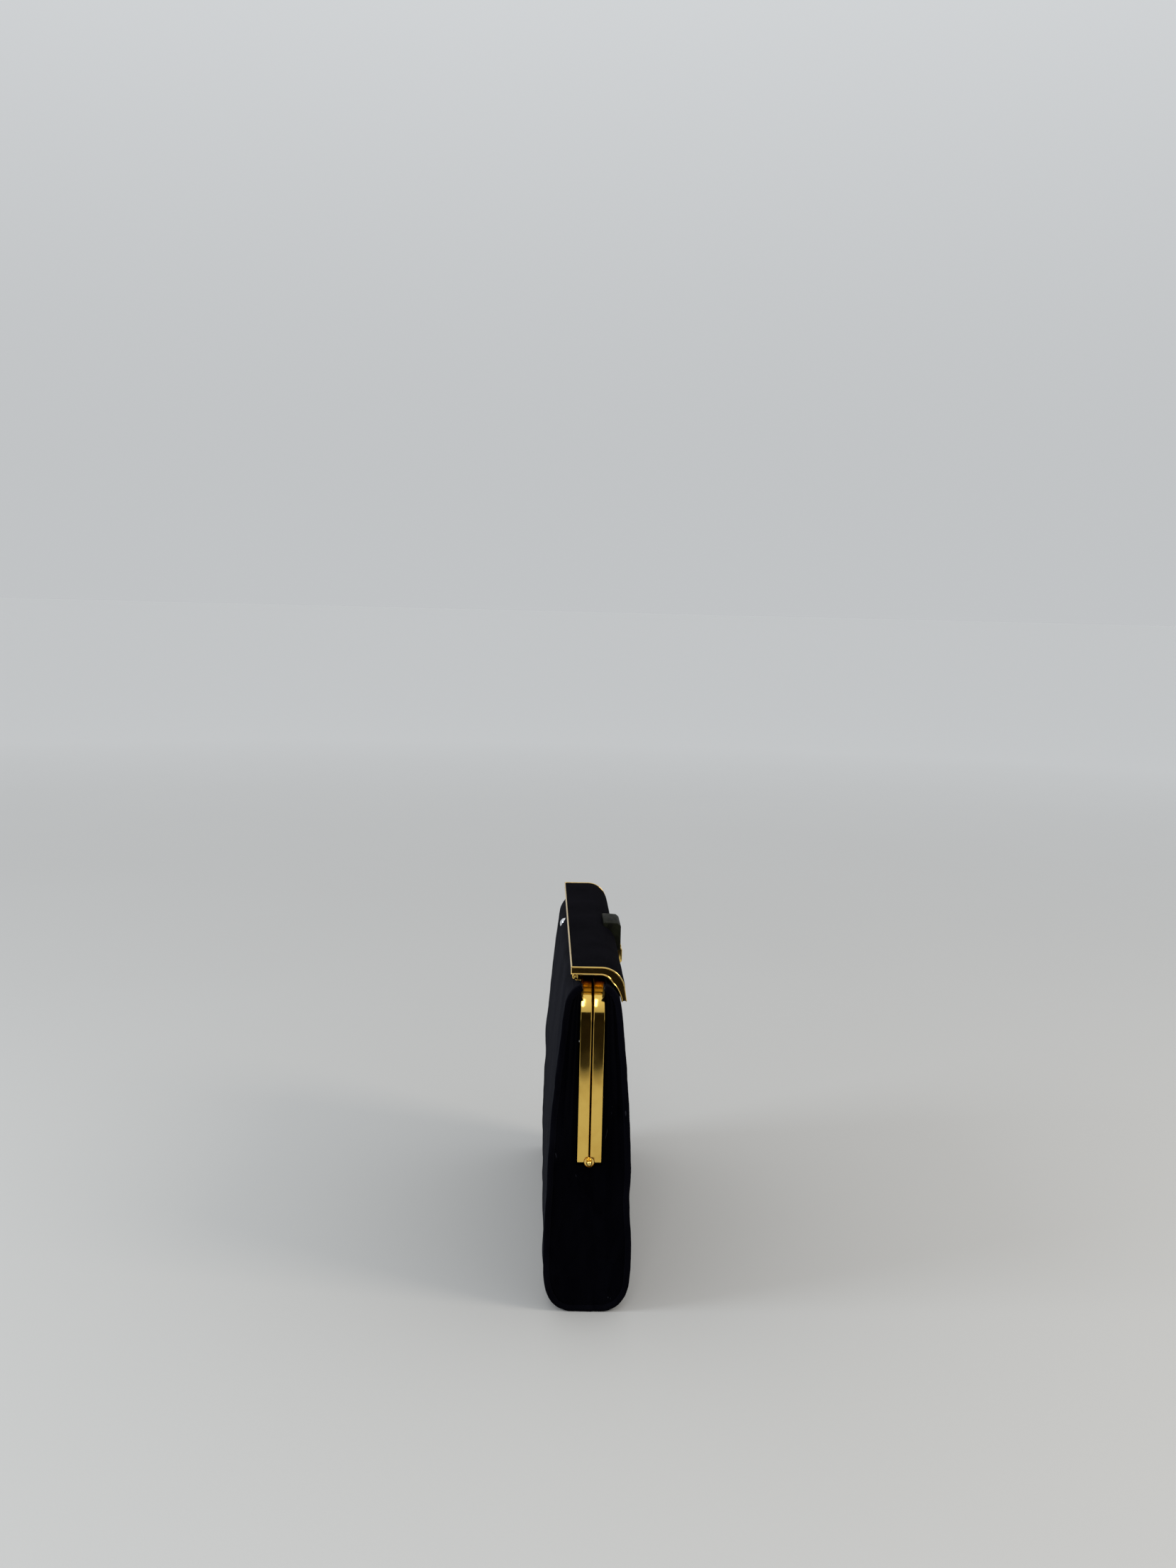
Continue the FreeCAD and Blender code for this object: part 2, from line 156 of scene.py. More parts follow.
def merge_and_face_out(obj, distance=1e-6):
    """Weld doubles and turn the faces outwards."""
    bm = bmesh.new()
    bm.from_mesh(obj.data)
    bmesh.ops.remove_doubles(bm, verts=bm.verts, dist=distance)
    bmesh.ops.recalc_face_normals(bm, faces=bm.faces)
    bm.to_mesh(obj.data)
    bm.free()
    obj.data.update()
    return obj


def loft(rows, close_rows=False, close_columns=False, caps=False):
    """Vertices and faces of a surface through rows of points."""
    count = len(rows[0])
    verts = [tuple(p) for row in rows for p in row]
    faces = []
    for i in range(len(rows) if close_rows else len(rows) - 1):
        a = i * count
        b = ((i + 1) % len(rows)) * count
        for j in range(count if close_columns else count - 1):
            k = (j + 1) % count
            faces.append((a + j, a + k, b + k, b + j))
    if caps:
        faces.append(tuple(range(count))[::-1])
        faces.append(tuple((len(rows) - 1) * count + j for j in range(count)))
    return verts, faces


def solid(name, rings, smooth=True, merge=1e-6):
    """Closed solid through rings of points."""
    return merge_and_face_out(make_mesh(name, *loft(rings, close_columns=True, caps=True), smooth), merge)


def round_angles(sides):
    return [2 * math.pi * k / sides for k in range(sides)]


def spread_out(half, count):
    """Even places from -half to half."""
    return [-half + 2 * half * i / count for i in range(count + 1)]


def baked(obj):
    """Turn an object's modifiers into its own mesh."""
    graph = bpy.context.evaluated_depsgraph_get()
    graph.update()
    mesh = bpy.data.meshes.new_from_object(obj.evaluated_get(graph))
    mesh.name = obj.name
    obj.modifiers.clear()
    obj.data = mesh
    return obj


def join(name, parts):
    """One object from several, keeping each one's material."""
    bm = bmesh.new()
    materials = []
    for part in parts:
        first = len(bm.faces)
        bm.from_mesh(part.data)
        bm.faces.ensure_lookup_table()
        slots = list(part.data.materials) or [None]
        for face in bm.faces[first:]:
            material = slots[min(face.material_index, len(slots) - 1)]
            if material not in materials:
                materials.append(material)
            face.material_index = materials.index(material)
    mesh = bpy.data.meshes.new(name)
    bm.to_mesh(mesh)
    bm.free()
    for material in materials:
        mesh.materials.append(material)
    for part in parts:
        bpy.data.objects.remove(part)
    return link(bpy.data.objects.new(name, mesh))


def dress(obj, body, material=None, stands_for=()):
    """Give a finished piece its material and body, and hide the CAD nodes it stands for."""
    if material is not None:
        obj.data.materials.clear()
        obj.data.materials.append(material)
    if body is not None:
        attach(obj, body)
    if stands_for:
        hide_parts(*stands_for)
    return obj


def smoothstep(x, low, high):
    t = min(1.0, max(0.0, (x - low) / (high - low)))
    return t * t * (3 - 2 * t)


def bump_at(*point, scale=20.0):
    """Smooth repeatable noise from -1 to 1."""
    return noise.noise(Vector(point) / scale)


# ---- materials ----

def new_node(tree, kind, **values):
    node = tree.nodes.new(kind)
    for key, value in values.items():
        setattr(node, key, value)
    return node


def set_sockets(node, **values):
    """Constants on a node's own inputs; an underscore stands for a space."""
    for key, value in values.items():
        node.inputs[key.replace("_", " ")].default_value = value


class Nodes:
    """A material's node tree with short calls for what the finishes share."""

    def __init__(self, name):
        self.material = bpy.data.materials.new(name)
        self.material.use_nodes = True
        self.tree = self.material.node_tree
        self.shader = self.tree.nodes["Principled BSDF"]
        self.coords = self.add("ShaderNodeTexCoord").outputs["Object"]

    def add(self, kind, **values):
        return new_node(self.tree, kind, **values)

    def wire(self, source, target):
        self.tree.links.new(source, target)

    def set(self, **sockets):
        set_sockets(self.shader, **sockets)

    def noise(self, scale, detail=4.0, roughness=0.55, stretch=(1, 1, 1), distortion=0.0):
        mapping = self.add("ShaderNodeMapping")
        set_sockets(mapping, Scale=stretch)
        self.wire(self.coords, mapping.inputs["Vector"])
        texture = self.add("ShaderNodeTexNoise")
        set_sockets(texture, Scale=scale, Detail=detail, Roughness=roughness, Distortion=distortion)
        self.wire(mapping.outputs["Vector"], texture.inputs["Vector"])
        return texture.outputs["Fac"]

    def bands(self, direction, **sockets):
        """Woven lines across the piece."""
        node = self.add("ShaderNodeTexWave", wave_type="BANDS", bands_direction=direction)
        set_sockets(node, **sockets)
        self.wire(self.coords, node.inputs["Vector"])
        return node.outputs["Fac"]

    def ramp(self, source, *stops):
        node = self.add("ShaderNodeValToRGB")
        elements = node.color_ramp.elements
        while len(elements) < len(stops):
            elements.new(0.5)
        for element, (place, colour) in zip(elements, stops):
            element.position = place
            element.color = (*colour, 1.0)
        self.wire(source, node.inputs["Fac"])
        return node.outputs["Color"]

    def colour(self, source, *stops):
        self.wire(self.ramp(source, *stops), self.shader.inputs["Base Color"])

    def spread(self, source, low, high, from_low=0.3, from_high=0.7):
        node = self.add("ShaderNodeMapRange")
        set_sockets(node, From_Min=from_low, From_Max=from_high, To_Min=low, To_Max=high)
        self.wire(source, node.inputs["Value"])
        return node.outputs["Result"]

    def roughness(self, source, low, high):
        self.wire(self.spread(source, low, high), self.shader.inputs["Roughness"])

    def math(self, operation, a, b):
        node = self.add("ShaderNodeMath", operation=operation)
        for socket, value in zip(node.inputs, (a, b)):
            if isinstance(value, (int, float)):
                socket.default_value = value
            else:
                self.wire(value, socket)
        return node.outputs["Value"]

    def weighed(self, a, share, b):
        """a times its share, plus b."""
        return self.math("ADD", self.math("MULTIPLY", a, share), b)

    def bump(self, height, distance, strength):
        node = self.add("ShaderNodeBump")
        set_sockets(node, Strength=strength, Distance=distance)
        self.wire(height, node.inputs["Height"])
        self.wire(node.outputs["Normal"], self.shader.inputs["Normal"])


def velvet(name, dark, light, sheen, gloss=1.12):
    """Short black pile: patches brushed one way and the other, fine nap, a few lint fibres, a slight sheen."""
    m = Nodes(name)
    m.set(Roughness=0.95, Sheen_Weight=sheen, Sheen_Roughness=0.42, Specular_IOR_Level=0.04, IOR=gloss,
          Sheen_Tint=(0.60, 0.66, 0.86, 1.0))
    brushed = m.noise(62, 4, 0.62, (1, 1, 0.4), 0.6)
    nap = m.noise(2600, 2, 0.7)
    lint = m.noise(520, 1, 0.5, (1, 1, 0.35), 0.8)
    shade = m.math("ADD", m.math("MULTIPLY", brushed, 0.75), m.math("MULTIPLY", nap, 0.25))
    cloth = m.ramp(shade, (0.36, dark), (0.64, light))
    specks = m.ramp(lint, (0.0, (0, 0, 0)), (0.78, (0, 0, 0)), (0.83, (0.014, 0.014, 0.017)))
    mix = m.add("ShaderNodeMix", data_type="RGBA", blend_type="ADD")
    mix.inputs["Factor"].default_value = 1.0
    m.wire(cloth, mix.inputs[6])
    m.wire(specks, mix.inputs[7])
    m.wire(mix.outputs[2], m.shader.inputs["Base Color"])
    m.bump(m.weighed(nap, 0.6, brushed), 0.00035, 0.6)
    return m.material


def polished_gold(name, tone, roughness=(0.035, 0.13)):
    """Thin bright gold plating with faint waves, fine scratches and a few dull touches."""
    m = Nodes(name)
    m.set(Metallic=1.0)
    cloud = m.noise(55, 4, 0.6)
    scratches = m.noise(900, 2, 0.6, (1, 1, 0.04))
    waves = m.noise(38, 1, 0.4)
    worn = tuple(c * w for c, w in zip(tone, (0.88, 0.82, 0.72)))
    m.colour(cloud, (0.3, worn), (0.55, tone))
    m.roughness(cloud, roughness[1], roughness[0])
    m.bump(m.weighed(scratches, 0.025, waves), 0.00010, 0.35)
    return m.material


def satin(name, tone):
    """Close satin lining: fine twill lines and a soft shine."""
    m = Nodes(name)
    m.set(Roughness=0.42, Sheen_Weight=0.2, Sheen_Roughness=0.3, Specular_IOR_Level=0.5)
    twill = m.bands("DIAGONAL", Scale=700)
    patch = m.noise(60, 3)
    m.colour(patch, (0.35, tuple(c * 0.7 for c in tone)), (0.65, tone))
    m.bump(m.weighed(twill, 0.3, patch), 0.0002, 0.5)
    return m.material


def ribbed_cloth(name, dark, light, sheen):
    """Dull dress cloth on the flap: close ribs across it and a dry finish."""
    m = Nodes(name)
    m.set(Roughness=0.85, Sheen_Weight=sheen, Sheen_Roughness=0.45, Specular_IOR_Level=0.03, IOR=1.15,
          Sheen_Tint=(0.66, 0.68, 0.82, 1.0))
    ribs = m.bands("X", Scale=420, Distortion=1.2, Detail=1.0, Detail_Scale=2.0)
    fibre = m.noise(2200, 3, 0.7)
    patch = m.noise(50, 3, 0.6)
    tone = m.math("ADD", m.math("MULTIPLY", fibre, 0.6), m.math("MULTIPLY", patch, 0.4))
    m.colour(tone, (0.36, dark), (0.66, light))
    m.bump(m.weighed(ribs, 0.5, fibre), 0.00022, 0.6)
    return m.material


def polished_block(name):
    """Polished dark resin of the clasp: near black with a slight olive cloud."""
    m = Nodes(name)
    m.set(Specular_IOR_Level=0.12, IOR=1.12)
    cloud = m.noise(120, 4, 0.6, distortion=0.8)
    m.colour(cloud, (0.35, (0.0045, 0.0045, 0.0036)), (0.7, (0.012, 0.013, 0.0075)))
    m.roughness(m.noise(500, 3), 0.34, 0.5)
    m.bump(m.noise(160, 2), 0.00008, 0.3)
    return m.material


def polished_nickel(name):
    m = Nodes(name)
    m.set(Metallic=1.0)
    m.colour(m.noise(400, 3), (0.3, (0.62, 0.64, 0.68)), (0.7, (0.84, 0.86, 0.90)))
    m.roughness(m.noise(700, 2), 0.05, 0.14)
    m.bump(m.noise(300, 1), 0.00005, 0.2)
    return m.material


def leatherboard(name):
    m = Nodes(name)
    m.set(Roughness=0.85)
    fibre = m.noise(600, 5, 0.7, (1, 1, 3))
    m.colour(fibre, (0.35, (0.16, 0.11, 0.07)), (0.7, (0.34, 0.26, 0.17)))
    m.bump(fibre, 0.0001, 0.4)
    return m.material


def pale_floor(name):
    """Pale paper with painted shade: darker near the purse and lighter farther out, with a faint mottle."""
    m = Nodes(name)
    m.set(Roughness=0.8, Specular_IOR_Level=0.3)
    length = m.add("ShaderNodeVectorMath", operation="LENGTH")
    m.wire(m.coords, length.inputs[0])
    # painted shade: the paper's colour darkens towards the purse and lightens with distance from it
    far = m.spread(length.outputs["Value"], 0.0, 1.0, 0.1, 3.0)
    painted_shade_and_mottle = m.math("ADD", far, m.math("MULTIPLY", m.noise(2.5, 3), 0.06))
    m.colour(painted_shade_and_mottle, (0.0, (0.46, 0.455, 0.445)), (1.0, (0.675, 0.675, 0.672)))
    m.bump(m.noise(500, 2), 0.0002, 0.15)
    return m.material


VELVET = velvet("velvet_pouch", (0.0022, 0.0023, 0.0038), (0.0060, 0.0062, 0.0094), 0.018, 1.3)
# painted shade: a darker copy of the pouch's velvet for the end cloth stands in for the shade on the purse's
# ends
VELVET_END_SHADED = velvet("velvet_gusset", (0.0005, 0.0005, 0.0010), (0.0017, 0.0017, 0.0030), 0.006)
# painted shade: a darker copy of the pouch's velvet for the rolls along the shaded ends
VELVET_ROLL_SHADED = velvet("velvet_edge", (0.0008, 0.0008, 0.0016), (0.0026, 0.0026, 0.0044), 0.010)
GOLD = polished_gold("gold_frame", (0.86, 0.58, 0.135))
GOLD_RIM = polished_gold("gold_rim", (0.82, 0.58, 0.19), (0.05, 0.16))
GOLD_INNER = polished_gold("gold_inner_plate", (0.78, 0.54, 0.15), (0.14, 0.28))
GOLD_SMALL = polished_gold("gold_small_parts", (0.84, 0.59, 0.17), (0.06, 0.18))
LINING = satin("lining_satin", (0.016, 0.016, 0.021))
FLAP_CLOTH = ribbed_cloth("flap_cloth", (0.0012, 0.0011, 0.0018), (0.0042, 0.0039, 0.0056), 0.004)
BLOCK = polished_block("clasp_resin")
NICKEL = polished_nickel("stud_nickel")
BOARD = leatherboard("leatherboard")
THREAD = velvet("sewing_thread", (0.006, 0.006, 0.009), (0.022, 0.022, 0.028), 0.05)


# ---- camera, floor and light ----

CAMERA_PLACE = (-0.8196, 0.0288, 0.350)
CAMERA_AIM = (0.0, 0.0015, 0.2507)
CAMERA_ROLL = math.radians(1.4)
SKY_TONE = (0.955, 0.98, 1.0, 1.0)
SKY_HORIZON = 0.56
SKY_ZENITH = 0.92


def set_camera():
    """The narrow end seen from a little above and a little to the back's side."""
    data = bpy.data.cameras.new("camera")
    data.sensor_width = 36.0
    data.lens = 34.3
    data.clip_start = 0.01
    camera = link(bpy.data.objects.new("camera", data))
    camera.location = CAMERA_PLACE
    look = (Vector(CAMERA_AIM) - camera.location).to_track_quat("-Z", "Y")
    camera.rotation_euler = (look.to_matrix().to_4x4() @ Matrix.Rotation(CAMERA_ROLL, 4, "Z")).to_euler()
    bpy.context.scene.camera = camera


def panel_light(name, place, aim, size, power, colour=(1, 1, 1)):
    data = bpy.data.lights.new(name, "AREA")
    data.shape = "RECTANGLE"
    data.size, data.size_y = size
    data.energy = power
    data.color = colour
    lamp = link(bpy.data.objects.new(name, data))
    lamp.location = place
    lamp.rotation_euler = (Vector(aim) - Vector(place)).to_track_quat("-Z", "Y").to_euler()


def set_world():
    """Soft sky, dim at the horizon and brighter overhead."""
    world = bpy.data.worlds.new("studio")
    world.use_nodes = True
    tree = world.node_tree
    coords = new_node(tree, "ShaderNodeTexCoord")
    split = new_node(tree, "ShaderNodeSeparateXYZ")
    rise = new_node(tree, "ShaderNodeMapRange", interpolation_type="SMOOTHSTEP")
    set_sockets(rise, From_Min=0.05, From_Max=0.9, To_Min=SKY_HORIZON, To_Max=SKY_ZENITH)
    background = tree.nodes["Background"]
    set_sockets(background, Color=SKY_TONE)
    tree.links.new(coords.outputs["Generated"], split.inputs["Vector"])
    tree.links.new(split.outputs["Z"], rise.inputs["Value"])
    tree.links.new(rise.outputs["Result"], background.inputs["Strength"])
    bpy.context.scene.world = world


def set_studio():
    """Paper floor, three soft panels, and a dark card that only reflections show."""
    side = 60000.0
    sheet = make_mesh("floor", [(-side, -side, 0), (side, -side, 0), (side, side, 0), (-side, side, 0)],
                      [(0, 1, 2, 3)])
    sheet.data.materials.append(pale_floor("floor_paper"))
    near, far, half, lift, rise = -475, -1300, 420, 1, 420
    lying = [(far, -half, lift), (near, -half, lift), (near, half, lift), (far, half, lift)]
    card = make_mesh("dark_card", lying + [(far, -half, rise), (far, half, rise)], [(0, 1, 2, 3), (0, 3, 5, 4)])
    black = bpy.data.materials.new("dark_card")
    black.use_nodes = True
    set_sockets(black.node_tree.nodes["Principled BSDF"],
                Base_Color=(0.012, 0.010, 0.008, 1), Specular_IOR_Level=0.0)
    card.data.materials.append(black)
    card.visible_camera = False
    card.visible_shadow = False
    card.visible_diffuse = False
    set_world()
    panel_light("rear_panel", (-0.35, 1.15, 0.75), (0, 0, 0.09), (0.45, 0.45), 6.0, (0.87, 0.94, 1.0))
    panel_light("front_panel", (-0.5, -1.1, 0.95), (0, 0, 0.09), (0.40, 0.40), 5.6, (1.0, 0.91, 0.79))
    panel_light("window_panel", (-1.15, 0.16, 1.02), (-0.1, 0, 0.15), (0.24, 0.5), 2.4)
    bpy.context.scene.view_settings.view_transform = "Standard"


# ---- the pouch's section, as in the CAD model ----

SIDE_IN = HALF_DEPTH - SHOULDER_Y
SIDE_RISE = SHOULDER_Z - BELLY_Z
SIDE_RADIUS = (SIDE_IN ** 2 + SIDE_RISE ** 2) / (2 * SIDE_IN)
SIDE_LEAN = math.asin(SIDE_RISE / SIDE_RADIUS)
NECK_CHORD = math.hypot(SHOULDER_Y - NECK_Y, NECK_Z - SHOULDER_Z)
NECK_TURN = math.atan2(SHOULDER_Y - NECK_Y, NECK_Z - SHOULDER_Z) - SIDE_LEAN
NECK_RADIUS = NECK_CHORD / 2 / math.sin(NECK_TURN)
NECK_CENTRE = (SHOULDER_Y - NECK_RADIUS * math.cos(SIDE_LEAN),
               SHOULDER_Z - NECK_RADIUS * math.sin(SIDE_LEAN))
FLAT_Y = HALF_DEPTH - BOTTOM_RADIUS


def side_outline(step):
    """(y, z, normal y, normal z) from the neck down one side to the bottom's middle."""
    points = []

    def arc(centre, radius, start, end):
        count = max(2, round(abs(end - start) * radius / step))
        for i in range(count):
            a = start + (end - start) * i / count
            points.append((centre[0] + radius * math.cos(a), centre[1] + radius * math.sin(a),
                           math.cos(a), math.sin(a)))

    def straight(a, b, normal):
        count = max(1, round(math.dist(a, b) / step))
        for i in range(count):
            t = i / count
            points.append((a[0] + (b[0] - a[0]) * t, a[1] + (b[1] - a[1]) * t, *normal))

    arc(NECK_CENTRE, NECK_RADIUS, SIDE_LEAN + 2 * NECK_TURN, SIDE_LEAN)
    arc((HALF_DEPTH - SIDE_RADIUS, BELLY_Z), SIDE_RADIUS, SIDE_LEAN, 0.0)
    straight((HALF_DEPTH, BELLY_Z), (HALF_DEPTH, BOTTOM_RADIUS), (1, 0))
    arc((FLAT_Y, BOTTOM_RADIUS), BOTTOM_RADIUS, 0.0, -math.pi / 2)
    straight((FLAT_Y, 0), (0, 0), (0, -1))
    return points


def outline(step):
    """The whole open section, rear neck to front neck."""
    rear = side_outline(step)
    front = [(-y, z, -ny, nz) for y, z, ny, nz in reversed(rear)]
    return rear + [(0, 0, 0, -1)] + front


def half_depth_at(z, inset):
    """Half depth of the section moved inwards by inset, at a height."""
    if z < BOTTOM_RADIUS:
        r = BOTTOM_RADIUS - inset
        dz = min(r, BOTTOM_RADIUS - z)
        return FLAT_Y + math.sqrt(max(0.0, r * r - dz * dz))
    if z <= BELLY_Z:
        return HALF_DEPTH - inset
    if z <= SHOULDER_Z:
        r = SIDE_RADIUS - inset
        return HALF_DEPTH - SIDE_RADIUS + math.sqrt(r * r - (z - BELLY_Z) ** 2)
    r = NECK_RADIUS - inset
    dz = min(r, z - NECK_CENTRE[1])
    return NECK_CENTRE[0] + math.sqrt(max(0.0, r * r - dz * dz))


# ---- baking the soft pieces' transforms ----


def bend(obj):
    """Bake the object's transform into its mesh."""
    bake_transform(obj)


def bend_wrap(obj):
    """Bake the piece's transform into its mesh."""
    bend(obj)


def bend_end_cloth(obj):
    bend(obj)


# ---- the pouch ----

def slack(y, z):
    """How far the sewn ends stand in from the boards' line: tucked at the bottom, pinched on the front."""
    tuck = 0.85 * math.exp(-((z - 11) / 7.5) ** 2)
    if y < 0:
        pinch = 1.15 * math.exp(-((z - PIVOT_Z + 19) / 13) ** 2)
    else:
        pinch = 0.35 * math.exp(-((z - 62) / 18) ** 2)
    return (tuck + pinch) * smoothstep(z, 0.5, 6)


def wave(x, y, z):
    """Soft unevenness of the stretched cloth, in millimetres."""
    broad = bump_at(x, y * 2, z, scale=46) * 0.8
    middle = bump_at(x + 300, y * 2, z, scale=19) * 0.32
    return broad + middle


DEEPEST = -1.08                           # the cloth sinks no further than this, so it stays over the boards


def wrap_rows(inset, amount, end_x, step, swell=None):
    """Rows of points along X for one layer of the wrap. swell adds the simulated cloth's own shape."""
    section = outline(step)
    count = round(2 * end_x / step)
    rows = []
    for i, x in enumerate(spread_out(end_x, count)):
        from_end = end_x - abs(x)
        edge = smoothstep(from_end, 0, 16)
        near_end = 1 - 0.6 * smoothstep(from_end, 0, 45)
        row = []
        for j, (y, z, ny, nz) in enumerate(section):
            ease = edge * smoothstep(NECK_Z - z, 0, 14) * smoothstep(z, 2, 24)
            crown = 1.1 * smoothstep(from_end, 0, 60) * smoothstep(z, 4, 50) * smoothstep(NECK_Z - z, 4, 60)
            push = amount * (ease * wave(x, y, z) + crown) - slack(y, z) * near_end
            if swell is not None:
                push += amount * swell(i / count, j / (len(section) - 1))
            push = max(push, DEEPEST) - inset
            row.append((x, y + ny * push, z + nz * push))
        rows.append(row)
    return rows


def shell(name, outer, inner):
    """Closed sheet between two surfaces with the same rows; its inner side takes the second material."""
    count = len(outer[0])
    verts, faces = loft(outer)
    inner_verts, inner_faces = loft(inner)
    base = len(verts)
    outer_total = len(faces)
    verts += inner_verts
    faces += [tuple(reversed([base + i for i in f])) for f in inner_faces]
    inner_total = len(faces)
    last = (len(outer) - 1) * count
    edges = [list(range(count)), [last + j for j in range(count)],
             [i * count for i in range(len(outer))], [i * count + count - 1 for i in range(len(outer))]]
    for line in edges:
        for a, b in zip(line, line[1:]):
            faces.append((a, b, base + b, base + a))
    obj = make_mesh(name, verts, faces)
    for polygon in obj.data.polygons:
        polygon.material_index = 1 if outer_total <= polygon.index < inner_total else 0
    return merge_and_face_out(obj)


def simulated_swell():
    """Cloth simulation of the cover between its seams: its outward shift at (along X, along the section)."""
    section = outline(SIM_STEP)
    columns = len(section)
    count = round(2 * COVER_END / SIM_STEP)
    rows = [[(x, y + 0.25 * bump_at(x, y, z, scale=14) * ny, z) for y, z, ny, nz in section]
            for x in spread_out(COVER_END, count)]
    cloth = make_mesh("cover_cloth_sim", *loft(rows))
    held = cloth.vertex_groups.new(name="held")
    for i in range(count + 1):
        for j in range(columns):
            at_seam = i in (0, count) or j in (0, columns - 1)
            on_floor = section[j][1] < 3.0
            if at_seam or on_floor:
                held.add([i * columns + j], 1.0, "REPLACE")
    modifier = cloth.modifiers.new("cloth", "CLOTH")
    settings = {"quality": 6, "mass": 0.15, "tension_stiffness": 12, "compression_stiffness": 12,
                "shear_stiffness": 6, "bending_stiffness": 1.5, "vertex_group_mass": "held",
                "shrink_min": -0.012, "use_pressure": True, "uniform_pressure_force": 0.6}
    for key, value in settings.items():
        setattr(modifier.settings, key, value)
    modifier.settings.effector_weights.gravity = 0.0
    modifier.collision_settings.use_collision = False
    scene = bpy.context.scene
    for span in (scene, modifier.point_cache):
        span.frame_start = 1
        span.frame_end = SIM_FRAMES
    for number in range(1, SIM_FRAMES + 1):
        scene.frame_set(number)
    settled = cloth.evaluated_get(bpy.context.evaluated_depsgraph_get()).to_mesh()
    shifts = np.zeros((count + 1, columns))
    for i in range(count + 1):
        for j, (y, z, ny, nz) in enumerate(section):
            at = settled.vertices[i * columns + j].co / MM
            push = (at.y - y) * ny + (at.z - z) * nz
            shifts[i, j] = max(-SIM_CAP * 0.4, min(SIM_CAP, push))
    scene.frame_set(1)
    bpy.data.objects.remove(cloth)
    for _ in range(3):
        padded = np.pad(shifts, 1, mode="edge")
        shifts = (padded[:-2, 1:-1] + padded[2:, 1:-1] + padded[1:-1, :-2] + padded[1:-1, 2:] + 2 * shifts) / 6

    def swell(u, v):
        a = u * count
        b = v * (columns - 1)
        i = min(count - 1, int(a))
        j = min(columns - 2, int(b))
        fa = a - i
        fb = b - j
        top = shifts[i, j] * (1 - fb) + shifts[i, j + 1] * fb
        low = shifts[i + 1, j] * (1 - fb) + shifts[i + 1, j + 1] * fb
        return float(top * (1 - fa) + low * fa)

    return swell


def build_wrap(swell):
    outer, inner = (wrap_rows(inset, 1.0, COVER_END, WRAP_STEP, swell) for inset in (0.0, COVER_THICKNESS))
    wrap = shell("pouch_cover", outer, inner)
    dress(wrap, None, VELVET, ("body_cover", "front_cover", "front_fold"))
    bend_wrap(wrap)


def build_stiffener(swell):
    """Card behind the front cloth: it keeps the cloth's own line."""
    section = outline(WRAP_STEP)
    outer_inset = COVER_THICKNESS + CARD_GAP
    kept = [j for j, (y, z, _, _) in enumerate(section) if y < 0 and BOARD_LOW < z <= SHOULDER_Z]
    faces = []
    for inset in (outer_inset, outer_inset + CARD_THICKNESS):
        rows = wrap_rows(inset, 1.0, COVER_END, WRAP_STEP, swell)[2:-2]
        faces.append([[row[j] for j in kept] for row in rows])
    card = shell("front_stiffener", *faces)
    dress(card, None, BOARD, ("front_board", "front_lower_board"))
    bend_wrap(card)


def build_lining():
    outer, inner = (wrap_rows(inset, 0.15, LEG_X, LINING_STEP)
                    for inset in (LINING_INSET, LINING_INSET + LINING_THICKNESS))
    lining = shell("pouch_lining", outer, inner)
    dress(lining, None, LINING, ("body_lining", "front_lining"))
    bend_wrap(lining)
    side = side_outline(LINING_STEP)


def tube(name, path, radius_at, sides):
    """Round solid tube through points; radius_at gives the radius at each point."""
    rows = []
    previous = None
    for i, point in enumerate(path):
        here = Vector(point)
        along = (Vector(path[min(i + 1, len(path) - 1)]) - Vector(path[max(i - 1, 0)])).normalized()
        if previous is None:
            helper = Vector((0, 0, 1)) if abs(along.z) < 0.9 else Vector((1, 0, 0))
            across = along.cross(helper).normalized()
        else:
            across = (previous - along * previous.dot(along)).normalized()
        previous = across
        up = along.cross(across)
        r = radius_at(i)
        rows.append([tuple(here + (across * math.cos(a) + up * math.sin(a)) * r) for a in round_angles(sides)])
    return solid(name, rows)


def build_rolls():
    """The velvet rolled over a cord along both ends of the wrap."""
    for side, hand in ((-1, "left"), (1, "right")):
        path = []
        for y, z, ny, nz in outline(1.3):
            inset = ROLL_RADIUS - 0.15 + slack(y, z)
            x = side * (PIPING_END - ROLL_RADIUS)
            wobble = 0.26 * bump_at(x, y * 3, z, scale=9)
            path.append((x + wobble, y - ny * inset + ny * wobble, z - nz * inset))

        def radius_at(i):
            return ROLL_RADIUS * (1 + 0.07 * bump_at(path[i][0], path[i][1] * 2, path[i][2], scale=4))

        roll = tube(hand + "_piping_roll", path, radius_at, 14)
        # the rolls take the darker velvet copy, which is painted shade
        dress(roll, None, VELVET_ROLL_SHADED, (hand + "_piping", "front_" + hand + "_piping"))
        bend_wrap(roll)


